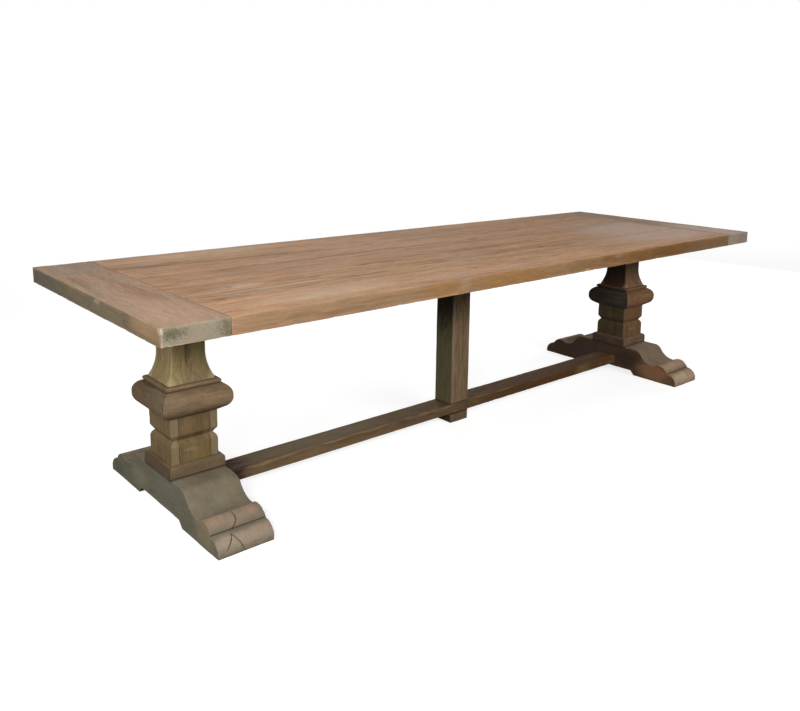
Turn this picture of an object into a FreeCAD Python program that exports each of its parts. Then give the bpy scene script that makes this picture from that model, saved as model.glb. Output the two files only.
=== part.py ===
import FreeCAD, Part
import math
import os
from FreeCAD import Vector

# Refectory table: a boarded top with breadboard ends on two moulded pedestals, joined by a low stretcher.
# All lengths are in millimetres. X runs along the table, Y across it and Z up.
# The origin is on the floor under the middle of the top.

# Whole table
TABLE_LENGTH = 3000.0
TABLE_WIDTH = 1030.0
TABLE_HEIGHT = 750.0
TOP_THICKNESS = 53.0
PEDESTAL_INSET = 286.0            # end of the top to the axis of a pedestal

# Fits
GLUE_CLEARANCE = 0.2              # beside a tongue, a tenon or a lap
END_CLEARANCE = 1.0               # beyond the end of a tongue, a tenon, a peg or a screw
ROUND_CLEARANCE = 0.1             # round a peg, a pin or a screw, on the radius
CUT_OVERRUN = 10.0                # how far a cutting tool stands past the face that it enters

# Top boards and breadboard ends
BOARD_WIDTH_SHARES = (0.182, 0.094, 0.168, 0.156, 0.156, 0.121, 0.123)
BREADBOARD_WIDTH = 195.0
EDGE_TONGUE_THICKNESS = 14.0
EDGE_TONGUE_DEPTH = 12.0
END_TONGUE_THICKNESS = 16.0
END_TONGUE_DEPTH = 45.0
END_TONGUE_SETBACK = 45.0         # long edge of the top to the first end tongue
BREADBOARD_PEG_DIAMETER = 12.0
BREADBOARD_PEG_BLIND = 5.0        # reach of a peg past its tongue

# Bearers under the top and their screws
BEARER_SETBACK = 185.0            # long edge of the top to the end of a bearer
BEARER_WIDTH = 130.0
BEARER_THICKNESS = 45.0
BEARER_BEVEL = 30.0
BEARER_TENON_WIDTH = 56.0         # square tenon of a neck or of the centre post
SCREW_SHANK_DIAMETER = 5.0
SCREW_HEAD_DIAMETER = 10.0
SCREW_HEAD_HEIGHT = 3.5
SCREW_POINT = 6.0
SCREW_BITE = 28.0                 # reach of a screw into a board
SCREW_SPREAD = 96.0               # between the two screws of a board, along X
SCREW_EDGE = 10.0                 # least distance from a screw to the start of the bevel

# Feet
FOOT_LENGTH = 808.0
FOOT_WIDTH = 188.0
FOOT_HEIGHT = 136.0
RELIEF_LENGTH = 290.0             # flat part of the hollow under a foot
RELIEF_HEIGHT = 22.0
RELIEF_SLOPE = 20.0               # run of the sloped end of the hollow
# Points of the upper outline, as shares of half the foot's length and of its height
TOE_SHARES = (0.998, 0.15)
LOWER_ROUND_MIDDLE_SHARES = (0.955, 0.34)
GROOVE_SHARES = (0.879, 0.42)
ROLL_MIDDLE_SHARES = (0.795, 0.635)
ROLL_START_SHARES = (0.688, 0.566)
HOLLOW_MIDDLE_SHARES = (0.566, 0.66)
SHOULDER_END_SHARES = (0.495, 0.868)
SHOULDER_MIDDLE_SHARES = (0.458, 0.962)
SHOULDER_START_SHARES = (0.41, 1.0)

# Pedestal shaft: four boards butted round a core post
SHAFT_WIDTH = 162.0
SHAFT_HEIGHT = 152.0              # the part that shows between plinth and torus
SHAFT_BOARD_THICKNESS = 27.0
CORE_TENON_WIDTH = 70.0
CORE_TENON_DEPTH = 50.0
NOTCH_DEPTH = 12.0
NOTCH_RISE = 18.0                 # straight bevel above the notch
NOTCH_FALL = 22.0                 # rounded edge below the notch
NOTCH_HEIGHT_SHARE = 0.49         # place of the notch on the shaft that shows
NOTCH_ROUND_SHARES = (0.3, 0.4)   # middle of the rounded edge, of depth and fall

# Mouldings round the shaft
PLINTH_HEIGHT = 41.0
PLINTH_PROJECTION = 16.0
PLINTH_ROUND = 13.0
TORUS_HEIGHT = 92.0
TORUS_PROJECTION = 39.0
# Points of the torus profile from the bottom up, as shares of its projection and height
TORUS_UNDERSIDE_SHARES = (0.6, 0.14)
TORUS_LOWER_MIDDLE_SHARES = (0.89, 0.29)
TORUS_WIDEST_SHARES = (1.0, 0.53)
TORUS_UPPER_MIDDLE_SHARES = (0.84, 0.82)
TORUS_TOP_SHARES = (0.3, 1.0)
BEAD_HEIGHT = 15.0
BEAD_PROJECTION = 13.0
PIN_DIAMETER = 2.5
PIN_SET = 1.0                     # depth of a pin's head below the moulding's face
PIN_SPREAD = 80.0                 # between the two pins of a moulding
PIN_BITE_SHARE = 0.55             # of the shaft board's thickness

# Neck
NECK_WIDTH = 116.0
NECK_COVE_HEIGHT = 84.0
NECK_COVE_MIDDLE_SHARES = (0.27, 0.5)
NECK_FACET = 8.0                  # corner cut off the flared foot of the neck

# Coach screws from each foot into its core post
COACH_SHANK_DIAMETER = 8.0
COACH_HEAD_WIDTH = 13.0           # across the flats
COACH_HEAD_HEIGHT = 5.5
COACH_HEAD_SIDES = 6
COACH_BITE = 90.0                 # reach into the core post, from the end of its tenon
COACH_SPREAD = 40.0
COUNTERBORE_DEPTH = 14.0
COUNTERBORE_DIAMETER = 27.0
WASHER_DIAMETER = 24.0
WASHER_THICKNESS = 2.0

# Stretcher and centre post
STRETCHER_WIDTH = 100.0
STRETCHER_THICKNESS = 40.0
STRETCHER_LIFT = 42.0             # floor to the underside
STRETCHER_TENON_WIDTH = 62.0
STRETCHER_TENON_THICKNESS = 22.0
STRETCHER_TENON_LENGTH = 45.0
STRETCHER_PEG_DIAMETER = 10.0
STRETCHER_PEG_BLIND = 5.0         # reach of a peg past the tenon
POST_WIDTH = 100.0
LAP_PEG_DIAMETER = 10.0
LAP_PEG_SPREAD = 44.0
LAP_PEG_BLIND = 14.0              # wood left in front of a peg

# Heights and places that follow from the sizes above
TOP_UNDERSIDE = TABLE_HEIGHT - TOP_THICKNESS
TOP_MIDDLE = TABLE_HEIGHT - TOP_THICKNESS / 2
BEARER_UNDERSIDE = TOP_UNDERSIDE - BEARER_THICKNESS
BEARER_LENGTH = TABLE_WIDTH - 2 * BEARER_SETBACK
PLINTH_TOP = FOOT_HEIGHT + PLINTH_HEIGHT
TORUS_BASE = PLINTH_TOP + SHAFT_HEIGHT
BEAD_BASE = TORUS_BASE + TORUS_HEIGHT
NECK_BASE = BEAD_BASE + BEAD_HEIGHT
SHOULDER_X = TABLE_LENGTH / 2 - BREADBOARD_WIDTH
PEDESTAL_X = TABLE_LENGTH / 2 - PEDESTAL_INSET
FOOT_INNER_X = PEDESTAL_X - FOOT_WIDTH / 2
CORE_WIDTH = SHAFT_WIDTH - 2 * SHAFT_BOARD_THICKNESS
STRETCHER_MIDDLE = STRETCHER_LIFT + STRETCHER_THICKNESS / 2
STRETCHER_TOP = STRETCHER_LIFT + STRETCHER_THICKNESS
COACH_SEAT = RELIEF_HEIGHT + COUNTERBORE_DEPTH

ORIGIN = Vector(0, 0, 0)
ALONG_X = Vector(1, 0, 0)
ALONG_Y = Vector(0, 1, 0)
UPWARD = Vector(0, 0, 1)
SIDES = {"left": -1, "right": 1}


def block(x_span, y_span, z_span):
    """Box between the two ends of each span."""
    low = Vector(min(x_span), min(y_span), min(z_span))
    size = [max(span) - min(span) for span in (x_span, y_span, z_span)]
    return Part.makeBox(size[0], size[1], size[2], low)


def about(middle, width):
    """Span of a width about its middle."""
    return (middle - width / 2, middle + width / 2)


def rod(start, direction, length, diameter):
    return Part.makeCylinder(diameter / 2, length, start, direction)


def hole(start, direction, length, diameter):
    """Drilled hole for a rod of the same start, direction and length."""
    return rod(start, direction, length + END_CLEARANCE, diameter + 2 * ROUND_CLEARANCE)


def joined(pieces):
    return pieces[0].multiFuse(pieces[1:]).removeSplitter()


def outline_face(start, steps):
    """Face inside an outline: a step of one point is a line, and one of two points is an arc."""
    edges = []
    here = start
    for step in steps:
        if len(step) == 1:
            edges.append(Part.makeLine(here, step[0]))
        else:
            edges.append(Part.Arc(here, step[0], step[1]).toShape())
        here = step[-1]
    if here != start:
        edges.append(Part.makeLine(here, start))
    return Part.Face(Part.Wire(edges))


def turned(shape, quarter):
    """Copy of a shape, turned by quarter turns about the pedestal's axis."""
    copy = shape.copy()
    copy.rotate(ORIGIN, UPWARD, 90 * quarter)
    return copy


def moved(shape, offset):
    copy = shape.copy()
    copy.translate(offset)
    return copy


def board_edges():
    """Y of each joint between the top boards, from the front edge to the back edge."""
    edges = [-TABLE_WIDTH / 2]
    for share in BOARD_WIDTH_SHARES:
        edges.append(edges[-1] + TABLE_WIDTH * share / sum(BOARD_WIDTH_SHARES))
    return edges


def end_tongue_span(low, high):
    limit = TABLE_WIDTH / 2 - END_TONGUE_SETBACK
    return (max(low, -limit), min(high, limit))


def breadboard_peg_places():
    """Start point of each peg, on the underside of the top."""
    edges = board_edges()
    places = []
    for side in SIDES.values():
        for low, high in zip(edges, edges[1:]):
            span = end_tongue_span(low, high)
            x = side * (SHOULDER_X + END_TONGUE_DEPTH / 2)
            places.append(Vector(x, sum(span) / 2, TOP_UNDERSIDE))
    return places


def breadboard_peg_length():
    return TOP_THICKNESS / 2 + END_TONGUE_THICKNESS / 2 + BREADBOARD_PEG_BLIND


def bearer_places():
    return {"left": -PEDESTAL_X, "centre": 0, "right": PEDESTAL_X}


def screw_places():
    """Start point of each bearer screw: two to a board, on the flat underside of a bearer."""
    edges = board_edges()
    reach = BEARER_LENGTH / 2 - BEARER_BEVEL - SCREW_EDGE
    places = []
    for bearer_x in bearer_places().values():
        for low, high in zip(edges, edges[1:]):
            middle = (low + high) / 2
            if abs(middle) <= reach:
                for x in about(bearer_x, SCREW_SPREAD):
                    places.append(Vector(x, middle, BEARER_UNDERSIDE))
    return places


def bearer_screw(growth):
    """Countersunk screw, point up, from the origin. Growth widens it into its own hole."""
    head = SCREW_HEAD_DIAMETER / 2 + growth
    shank = SCREW_SHANK_DIAMETER / 2 + growth
    length = BEARER_THICKNESS + SCREW_BITE
    corners = [ORIGIN, Vector(head, 0, 0), Vector(shank, 0, SCREW_HEAD_HEIGHT),
               Vector(shank, 0, length - SCREW_POINT), Vector(0, 0, length + growth), ORIGIN]
    face = Part.Face(Part.makePolygon(corners))
    return face.revolve(ORIGIN, UPWARD, 360)


def near_x(places, x, width):
    return [place for place in places if abs(place.x - x) < width / 2]


def within_y(places, low, high):
    return [place for place in places if low < place.y < high]


def top_board(number):
    """Lengthwise board with a groove in front, a tongue behind and a tongue at both ends."""
    edges = board_edges()
    low, high = edges[number], edges[number + 1]
    length = (-SHOULDER_X, SHOULDER_X)
    pieces = [block(length, (low, high), (TOP_UNDERSIDE, TABLE_HEIGHT))]
    if number + 1 < len(BOARD_WIDTH_SHARES):
        tongue = about(TOP_MIDDLE, EDGE_TONGUE_THICKNESS)
        pieces.append(block(length, (high, high + EDGE_TONGUE_DEPTH), tongue))
    for side in SIDES.values():
        reach = (side * SHOULDER_X, side * (SHOULDER_X + END_TONGUE_DEPTH))
        pieces.append(block(reach, end_tongue_span(low, high), about(TOP_MIDDLE, END_TONGUE_THICKNESS)))
    board = joined(pieces)
    cuts = []
    if number > 0:
        groove = about(TOP_MIDDLE, EDGE_TONGUE_THICKNESS + 2 * GLUE_CLEARANCE)
        depth = (low - CUT_OVERRUN, low + EDGE_TONGUE_DEPTH + END_CLEARANCE)
        cuts.append(block(length, depth, groove))
    for place in within_y(breadboard_peg_places(), low, high):
        cuts.append(hole(place, UPWARD, breadboard_peg_length(), BREADBOARD_PEG_DIAMETER))
    for place in within_y(screw_places(), low, high):
        cuts.append(moved(bearer_screw(ROUND_CLEARANCE), place))
    return board.cut(cuts)


def breadboard_end(side):
    """Cross board with a stopped groove for the end tongues and blind holes for the pegs."""
    end = block((side * SHOULDER_X, side * TABLE_LENGTH / 2), about(0, TABLE_WIDTH),
                (TOP_UNDERSIDE, TABLE_HEIGHT))
    reach = SHOULDER_X + END_TONGUE_DEPTH + END_CLEARANCE
    cuts = [block((side * (SHOULDER_X - CUT_OVERRUN), side * reach),
                  about(0, TABLE_WIDTH - 2 * END_TONGUE_SETBACK + 2 * GLUE_CLEARANCE),
                  about(TOP_MIDDLE, END_TONGUE_THICKNESS + 2 * GLUE_CLEARANCE))]
    for place in breadboard_peg_places():
        if place.x * side > 0:
            cuts.append(hole(place, UPWARD, breadboard_peg_length(), BREADBOARD_PEG_DIAMETER))
    return end.cut(cuts)


def breadboard_pegs():
    length = breadboard_peg_length()
    return [rod(place, UPWARD, length, BREADBOARD_PEG_DIAMETER) for place in breadboard_peg_places()]


def bearer(x):
    """Cross batten with bevelled ends, a mortise through its middle and countersunk screw holes."""
    front = -BEARER_LENGTH / 2
    back = BEARER_LENGTH / 2
    near = x - BEARER_WIDTH / 2
    corners = [Vector(near, front, TOP_UNDERSIDE), Vector(near, back, TOP_UNDERSIDE),
               Vector(near, back, TOP_UNDERSIDE - BEARER_THICKNESS + BEARER_BEVEL),
               Vector(near, back - BEARER_BEVEL, BEARER_UNDERSIDE),
               Vector(near, front + BEARER_BEVEL, BEARER_UNDERSIDE),
               Vector(near, front, TOP_UNDERSIDE - BEARER_THICKNESS + BEARER_BEVEL)]
    batten = Part.Face(Part.makePolygon(corners + corners[:1])).extrude(ALONG_X * BEARER_WIDTH)
    mortise = BEARER_TENON_WIDTH + 2 * GLUE_CLEARANCE
    cuts = [block(about(x, mortise), about(0, mortise),
                  (BEARER_UNDERSIDE - CUT_OVERRUN, TOP_UNDERSIDE + CUT_OVERRUN))]
    for place in near_x(screw_places(), x, BEARER_WIDTH):
        cuts.append(moved(bearer_screw(ROUND_CLEARANCE), place))
    return batten.cut(cuts)


def bearer_tenon():
    """Square tenon that fills a bearer's mortise, on the axis of its post."""
    return block(about(0, BEARER_TENON_WIDTH), about(0, BEARER_TENON_WIDTH),
                 (BEARER_UNDERSIDE, TOP_UNDERSIDE - END_CLEARANCE))


def bearer_screws():
    return [moved(bearer_screw(0), place) for place in screw_places()]


def stretcher_peg_place(side):
    return Vector(side * (FOOT_INNER_X + STRETCHER_TENON_LENGTH / 2), 0, RELIEF_HEIGHT)


def stretcher_peg_length():
    return STRETCHER_MIDDLE + STRETCHER_TENON_THICKNESS / 2 + STRETCHER_PEG_BLIND - RELIEF_HEIGHT


def coach_places():
    """Axis of each coach screw of a pedestal, at the height of its washer's seat."""
    return [Vector(0, y, COACH_SEAT) for y in about(0, COACH_SPREAD)]


def coach_length():
    """Length of a shank above the washer's seat."""
    return FOOT_HEIGHT - CORE_TENON_DEPTH + COACH_BITE - COACH_SEAT


def foot_point(shares):
    return Vector(0, FOOT_LENGTH / 2 * shares[0], FOOT_HEIGHT * shares[1])


def foot_half():
    """Back half of a foot, without its mortises."""
    half_relief = RELIEF_LENGTH / 2
    steps = [[Vector(0, half_relief, RELIEF_HEIGHT)],
             [Vector(0, half_relief + RELIEF_SLOPE, 0)],
             [Vector(0, FOOT_LENGTH / 2, 0)],
             [foot_point(TOE_SHARES)],
             [foot_point(LOWER_ROUND_MIDDLE_SHARES), foot_point(GROOVE_SHARES)],
             [foot_point(ROLL_MIDDLE_SHARES), foot_point(ROLL_START_SHARES)],
             [foot_point(HOLLOW_MIDDLE_SHARES), foot_point(SHOULDER_END_SHARES)],
             [foot_point(SHOULDER_MIDDLE_SHARES), foot_point(SHOULDER_START_SHARES)],
             [Vector(0, 0, FOOT_HEIGHT)]]
    face = outline_face(Vector(0, 0, RELIEF_HEIGHT), steps)
    face.translate(ALONG_X * (-FOOT_WIDTH / 2))
    return face.extrude(ALONG_X * FOOT_WIDTH)


def foot(side):
    """Sled foot at its pedestal, with mortises for the core post and the stretcher."""
    half = foot_half()
    sled = joined([half, half.mirror(ORIGIN, ALONG_Y)])
    core_mortise = CORE_TENON_WIDTH + 2 * GLUE_CLEARANCE
    cuts = [block(about(0, core_mortise), about(0, core_mortise),
                  (FOOT_HEIGHT - CORE_TENON_DEPTH - END_CLEARANCE, FOOT_HEIGHT + CUT_OVERRUN))]
    for place in coach_places():
        cuts.append(hole(place, UPWARD, coach_length(), COACH_SHANK_DIAMETER))
        under = place - UPWARD * (COUNTERBORE_DEPTH + CUT_OVERRUN)
        cuts.append(rod(under, UPWARD, COUNTERBORE_DEPTH + CUT_OVERRUN, COUNTERBORE_DIAMETER))
    sled = moved(sled.cut(cuts), ALONG_X * (side * PEDESTAL_X))
    reach = FOOT_INNER_X + STRETCHER_TENON_LENGTH + END_CLEARANCE
    stretcher_cuts = [block((side * (FOOT_INNER_X - CUT_OVERRUN), side * reach),
                            about(0, STRETCHER_TENON_WIDTH + 2 * GLUE_CLEARANCE),
                            about(STRETCHER_MIDDLE, STRETCHER_TENON_THICKNESS + 2 * GLUE_CLEARANCE)),
                      hole(stretcher_peg_place(side), UPWARD, stretcher_peg_length(),
                           STRETCHER_PEG_DIAMETER)]
    return sled.cut(stretcher_cuts)


def core_post():
    """Post inside the shaft boards, tenoned into the foot and, through the bead plate, into the neck."""
    body = block(about(0, CORE_WIDTH), about(0, CORE_WIDTH), (FOOT_HEIGHT, BEAD_BASE))
    tenons = block(about(0, CORE_TENON_WIDTH), about(0, CORE_TENON_WIDTH),
                   (FOOT_HEIGHT - CORE_TENON_DEPTH, NECK_BASE + CORE_TENON_DEPTH))
    cuts = [hole(place, UPWARD, coach_length(), COACH_SHANK_DIAMETER) for place in coach_places()]
    return joined([body, tenons]).cut(cuts)


def coach_screw(place):
    """Hexagon coach screw whose head bears on its washer from below."""
    corner = COACH_HEAD_WIDTH / 2 / math.cos(math.pi / COACH_HEAD_SIDES)
    head_top = place - UPWARD * WASHER_THICKNESS
    corners = []
    for number in range(COACH_HEAD_SIDES + 1):
        angle = 2 * math.pi * number / COACH_HEAD_SIDES
        corners.append(head_top + Vector(math.cos(angle), math.sin(angle), 0) * corner)
    head = Part.Face(Part.makePolygon(corners)).extrude(UPWARD * -COACH_HEAD_HEIGHT)
    shank = rod(head_top, UPWARD, WASHER_THICKNESS + coach_length(), COACH_SHANK_DIAMETER)
    return joined([head, shank])


def washer(place):
    low = place - UPWARD * WASHER_THICKNESS
    ring = rod(low, UPWARD, WASHER_THICKNESS, WASHER_DIAMETER)
    bore = hole(low, UPWARD, WASHER_THICKNESS, COACH_SHANK_DIAMETER)
    return ring.cut(bore)


def notch_tools():
    """Cutters that run the notch round the four faces of the shaft."""
    face_x = SHAFT_WIDTH / 2
    outside = face_x + CUT_OVERRUN
    y = -SHAFT_WIDTH / 2 - CUT_OVERRUN
    z = PLINTH_TOP + SHAFT_HEIGHT * NOTCH_HEIGHT_SHARE
    depth_share, fall_share = NOTCH_ROUND_SHARES
    bottom = Vector(face_x - NOTCH_DEPTH, y, z)
    round_middle = Vector(face_x - NOTCH_DEPTH * depth_share, y, z - NOTCH_FALL * fall_share)
    steps = [[Vector(face_x, y, z + NOTCH_RISE)],
             [Vector(outside, y, z + NOTCH_RISE)],
             [Vector(outside, y, z - NOTCH_FALL)],
             [Vector(face_x, y, z - NOTCH_FALL)],
             [round_middle, bottom]]
    tool = outline_face(bottom, steps).extrude(ALONG_Y * (SHAFT_WIDTH + 2 * CUT_OVERRUN))
    return [turned(tool, quarter) for quarter in range(4)]


def pin_lines():
    """Start point and length of each pin on the +X face: two to the plinth and two to the torus."""
    bite = PIN_BITE_SHARE * SHAFT_BOARD_THICKNESS
    heights = {FOOT_HEIGHT + PLINTH_HEIGHT / 2: PLINTH_PROJECTION,
               TORUS_BASE + TORUS_HEIGHT * TORUS_WIDEST_SHARES[1]: TORUS_PROJECTION}
    lines = []
    for z, projection in heights.items():
        for y in about(0, PIN_SPREAD):
            start = Vector(SHAFT_WIDTH / 2 + projection - PIN_SET, y, z)
            lines.append((start, projection - PIN_SET + bite))
    return lines


def pins():
    return [rod(start, -ALONG_X, length, PIN_DIAMETER) for start, length in pin_lines()]


def pin_holes():
    """Holes for the pins, open at the face of the moulding where the heads are punched in."""
    open_end = PIN_SET + CUT_OVERRUN
    return [hole(start + ALONG_X * open_end, -ALONG_X, length + open_end, PIN_DIAMETER)
            for start, length in pin_lines()]


def shaft_board(quarter):
    """Board of the shaft's box: those along X cover the edges of those between them."""
    width = CORE_WIDTH if quarter % 2 else SHAFT_WIDTH
    board = block((CORE_WIDTH / 2, SHAFT_WIDTH / 2), about(0, width), (FOOT_HEIGHT, BEAD_BASE))
    return turned(board.cut(notch_tools() + pin_holes()), quarter)


def mitred_length(profile, projection, base, height, quarter):
    """Moulding on one face of the shaft: a profile in the XZ plane, run along Y and mitred at both ends."""
    back = SHAFT_WIDTH / 2
    front = back + projection
    corners = [Vector(back, -back, base), Vector(back, back, base),
               Vector(front, front, base), Vector(front, -front, base)]
    wedge = Part.Face(Part.makePolygon(corners + corners[:1])).extrude(UPWARD * height)
    profile.translate(ALONG_Y * -front)
    length = profile.extrude(ALONG_Y * (2 * front)).common(wedge)
    return turned(length.cut(pin_holes()), quarter)


def plinth(quarter):
    """Base moulding with a rounded upper edge."""
    back = SHAFT_WIDTH / 2
    front = back + PLINTH_PROJECTION
    inset = PLINTH_ROUND * (1 - math.sqrt(0.5))
    steps = [[Vector(front, 0, FOOT_HEIGHT)],
             [Vector(front, 0, PLINTH_TOP - PLINTH_ROUND)],
             [Vector(front - inset, 0, PLINTH_TOP - inset), Vector(front - PLINTH_ROUND, 0, PLINTH_TOP)],
             [Vector(back, 0, PLINTH_TOP)]]
    profile = outline_face(Vector(back, 0, FOOT_HEIGHT), steps)
    return mitred_length(profile, PLINTH_PROJECTION, FOOT_HEIGHT, PLINTH_HEIGHT, quarter)


def torus_point(shares):
    return Vector(SHAFT_WIDTH / 2 + TORUS_PROJECTION * shares[0], 0, TORUS_BASE + TORUS_HEIGHT * shares[1])


def torus(quarter):
    """Fat round moulding with a sloped underside."""
    steps = [[torus_point(TORUS_UNDERSIDE_SHARES)],
             [torus_point(TORUS_LOWER_MIDDLE_SHARES), torus_point(TORUS_WIDEST_SHARES)],
             [torus_point(TORUS_UPPER_MIDDLE_SHARES), torus_point(TORUS_TOP_SHARES)],
             [Vector(SHAFT_WIDTH / 2, 0, BEAD_BASE)]]
    profile = outline_face(Vector(SHAFT_WIDTH / 2, 0, TORUS_BASE), steps)
    return mitred_length(profile, TORUS_PROJECTION, TORUS_BASE, TORUS_HEIGHT, quarter)


def square_turned(profile, half_width):
    """Solid with the same profile, drawn in the XZ plane, on all four sides."""
    profile.translate(ALONG_Y * -half_width)
    run = profile.extrude(ALONG_Y * (2 * half_width))
    return run.common(turned(run, 1))


def bead_plate():
    """Thin square plate with a half-round edge, pierced for the core post's tenon."""
    half = SHAFT_WIDTH / 2 + BEAD_PROJECTION
    flat = half - BEAD_HEIGHT / 2
    middle = BEAD_BASE + BEAD_HEIGHT / 2
    steps = [[Vector(flat, 0, BEAD_BASE)],
             [Vector(half, 0, middle), Vector(flat, 0, NECK_BASE)],
             [Vector(-flat, 0, NECK_BASE)],
             [Vector(-half, 0, middle), Vector(-flat, 0, BEAD_BASE)]]
    plate = square_turned(outline_face(Vector(-flat, 0, BEAD_BASE), steps), half)
    opening = about(0, CORE_TENON_WIDTH + 2 * GLUE_CLEARANCE)
    return plate.cut(block(opening, opening, (BEAD_BASE - CUT_OVERRUN, NECK_BASE + CUT_OVERRUN)))


def neck():
    """Square block, hollowed to a flare at its foot, with a tenon for the bearer above."""
    foot_half_width = SHAFT_WIDTH / 2
    top_half_width = NECK_WIDTH / 2
    depth_share, height_share = NECK_COVE_MIDDLE_SHARES
    cove_middle = top_half_width + (foot_half_width - top_half_width) * depth_share
    middle_z = NECK_BASE + NECK_COVE_HEIGHT * height_share
    cove_z = NECK_BASE + NECK_COVE_HEIGHT
    start = Vector(-foot_half_width, 0, NECK_BASE)
    steps = [[Vector(foot_half_width, 0, NECK_BASE)],
             [Vector(cove_middle, 0, middle_z), Vector(top_half_width, 0, cove_z)],
             [Vector(top_half_width, 0, BEARER_UNDERSIDE)],
             [Vector(-top_half_width, 0, BEARER_UNDERSIDE)],
             [Vector(-top_half_width, 0, cove_z)],
             [Vector(-cove_middle, 0, middle_z), start]]
    flared = square_turned(outline_face(start, steps), foot_half_width)
    facet = SHAFT_WIDTH - NECK_FACET
    corners = [Vector(facet, 0, NECK_BASE), Vector(0, facet, NECK_BASE),
               Vector(-facet, 0, NECK_BASE), Vector(0, -facet, NECK_BASE)]
    diamond = Part.Face(Part.makePolygon(corners + corners[:1]))
    flared = flared.common(diamond.extrude(UPWARD * (BEARER_UNDERSIDE - NECK_BASE)))
    opening = about(0, CORE_TENON_WIDTH + 2 * GLUE_CLEARANCE)
    mortise_top = NECK_BASE + CORE_TENON_DEPTH + END_CLEARANCE
    mortise = block(opening, opening, (NECK_BASE - CUT_OVERRUN, mortise_top))
    return joined([flared, bearer_tenon()]).cut(mortise)


def lap_peg_places():
    return [Vector(x, POST_WIDTH / 2, STRETCHER_MIDDLE) for x in about(0, LAP_PEG_SPREAD)]


def lap_peg_length():
    return POST_WIDTH / 2 + STRETCHER_WIDTH / 2 - LAP_PEG_BLIND


def lap_peg_holes():
    return [hole(place, -ALONG_Y, lap_peg_length(), LAP_PEG_DIAMETER) for place in lap_peg_places()]


def stretcher():
    """Low rail, tenoned into both feet, with its back half cut away for the centre post."""
    body = block((-FOOT_INNER_X, FOOT_INNER_X), about(0, STRETCHER_WIDTH), (STRETCHER_LIFT, STRETCHER_TOP))
    reach = FOOT_INNER_X + STRETCHER_TENON_LENGTH
    tenons = block((-reach, reach), about(0, STRETCHER_TENON_WIDTH),
                   about(STRETCHER_MIDDLE, STRETCHER_TENON_THICKNESS))
    cuts = [block(about(0, POST_WIDTH + 2 * GLUE_CLEARANCE), (0, STRETCHER_WIDTH / 2 + CUT_OVERRUN),
                  (STRETCHER_LIFT - CUT_OVERRUN, STRETCHER_TOP + CUT_OVERRUN))]
    for side in SIDES.values():
        cuts.append(hole(stretcher_peg_place(side), UPWARD, stretcher_peg_length(), STRETCHER_PEG_DIAMETER))
    return joined([body, tenons]).cut(cuts + lap_peg_holes())


def centre_post():
    """Post from the floor to the middle bearer, with its front half cut away for the stretcher."""
    body = block(about(0, POST_WIDTH), about(0, POST_WIDTH), (0, BEARER_UNDERSIDE))
    lap = block(about(0, POST_WIDTH + 2 * CUT_OVERRUN), (-POST_WIDTH / 2 - CUT_OVERRUN, GLUE_CLEARANCE),
                (STRETCHER_LIFT - GLUE_CLEARANCE, STRETCHER_TOP + GLUE_CLEARANCE))
    return joined([body, bearer_tenon()]).cut([lap] + lap_peg_holes())


def top_nodes():
    nodes = {}
    for number in range(len(BOARD_WIDTH_SHARES)):
        nodes["top_board_%d" % (number + 1)] = top_board(number)
    for name, side in SIDES.items():
        nodes["breadboard_end_" + name] = breadboard_end(side)
    nodes["breadboard_pegs"] = Part.makeCompound(breadboard_pegs())
    for name, x in bearer_places().items():
        nodes["bearer_" + name] = bearer(x)
    nodes["bearer_screws"] = Part.makeCompound(bearer_screws())
    return nodes


def pedestal_nodes():
    nodes = {}
    moulding_pins = []
    screws = []
    washers = []
    for name, side in SIDES.items():
        offset = ALONG_X * (side * PEDESTAL_X)
        faces = ("inner", "back", "outer", "front") if side < 0 else ("outer", "back", "inner", "front")
        nodes["foot_" + name] = foot(side)
        nodes["core_post_" + name] = moved(core_post(), offset)
        for quarter, face in enumerate(faces):
            nodes["shaft_board_%s_%s" % (face, name)] = moved(shaft_board(quarter), offset)
            nodes["plinth_%s_%s" % (face, name)] = moved(plinth(quarter), offset)
            nodes["torus_%s_%s" % (face, name)] = moved(torus(quarter), offset)
            moulding_pins += [moved(turned(pin, quarter), offset) for pin in pins()]
        nodes["bead_plate_" + name] = moved(bead_plate(), offset)
        nodes["neck_" + name] = moved(neck(), offset)
        screws += [moved(coach_screw(place), offset) for place in coach_places()]
        washers += [moved(washer(place), offset) for place in coach_places()]
    nodes["moulding_pins"] = Part.makeCompound(moulding_pins)
    nodes["foot_coach_screws"] = Part.makeCompound(screws)
    nodes["foot_washers"] = Part.makeCompound(washers)
    return nodes


def rail_nodes():
    pegs = [rod(stretcher_peg_place(side), UPWARD, stretcher_peg_length(), STRETCHER_PEG_DIAMETER)
            for side in SIDES.values()]
    lap_pegs = [rod(place, -ALONG_Y, lap_peg_length(), LAP_PEG_DIAMETER) for place in lap_peg_places()]
    return {"stretcher": stretcher(),
            "centre_post": centre_post(),
            "stretcher_pegs": Part.makeCompound(pegs),
            "lap_pegs": Part.makeCompound(lap_pegs)}


def main():
    os.makedirs("parts", exist_ok=True)
    nodes = {**top_nodes(), **pedestal_nodes(), **rail_nodes()}
    for name, shape in nodes.items():
        shape.exportStep("parts/%s.step" % name)
        print(name, "solids", len(shape.Solids), "valid", shape.isValid(), "volume", round(shape.Volume))


main()
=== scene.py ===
import math

import bmesh
import bpy
import numpy as np
from mathutils import Matrix, Vector


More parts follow.
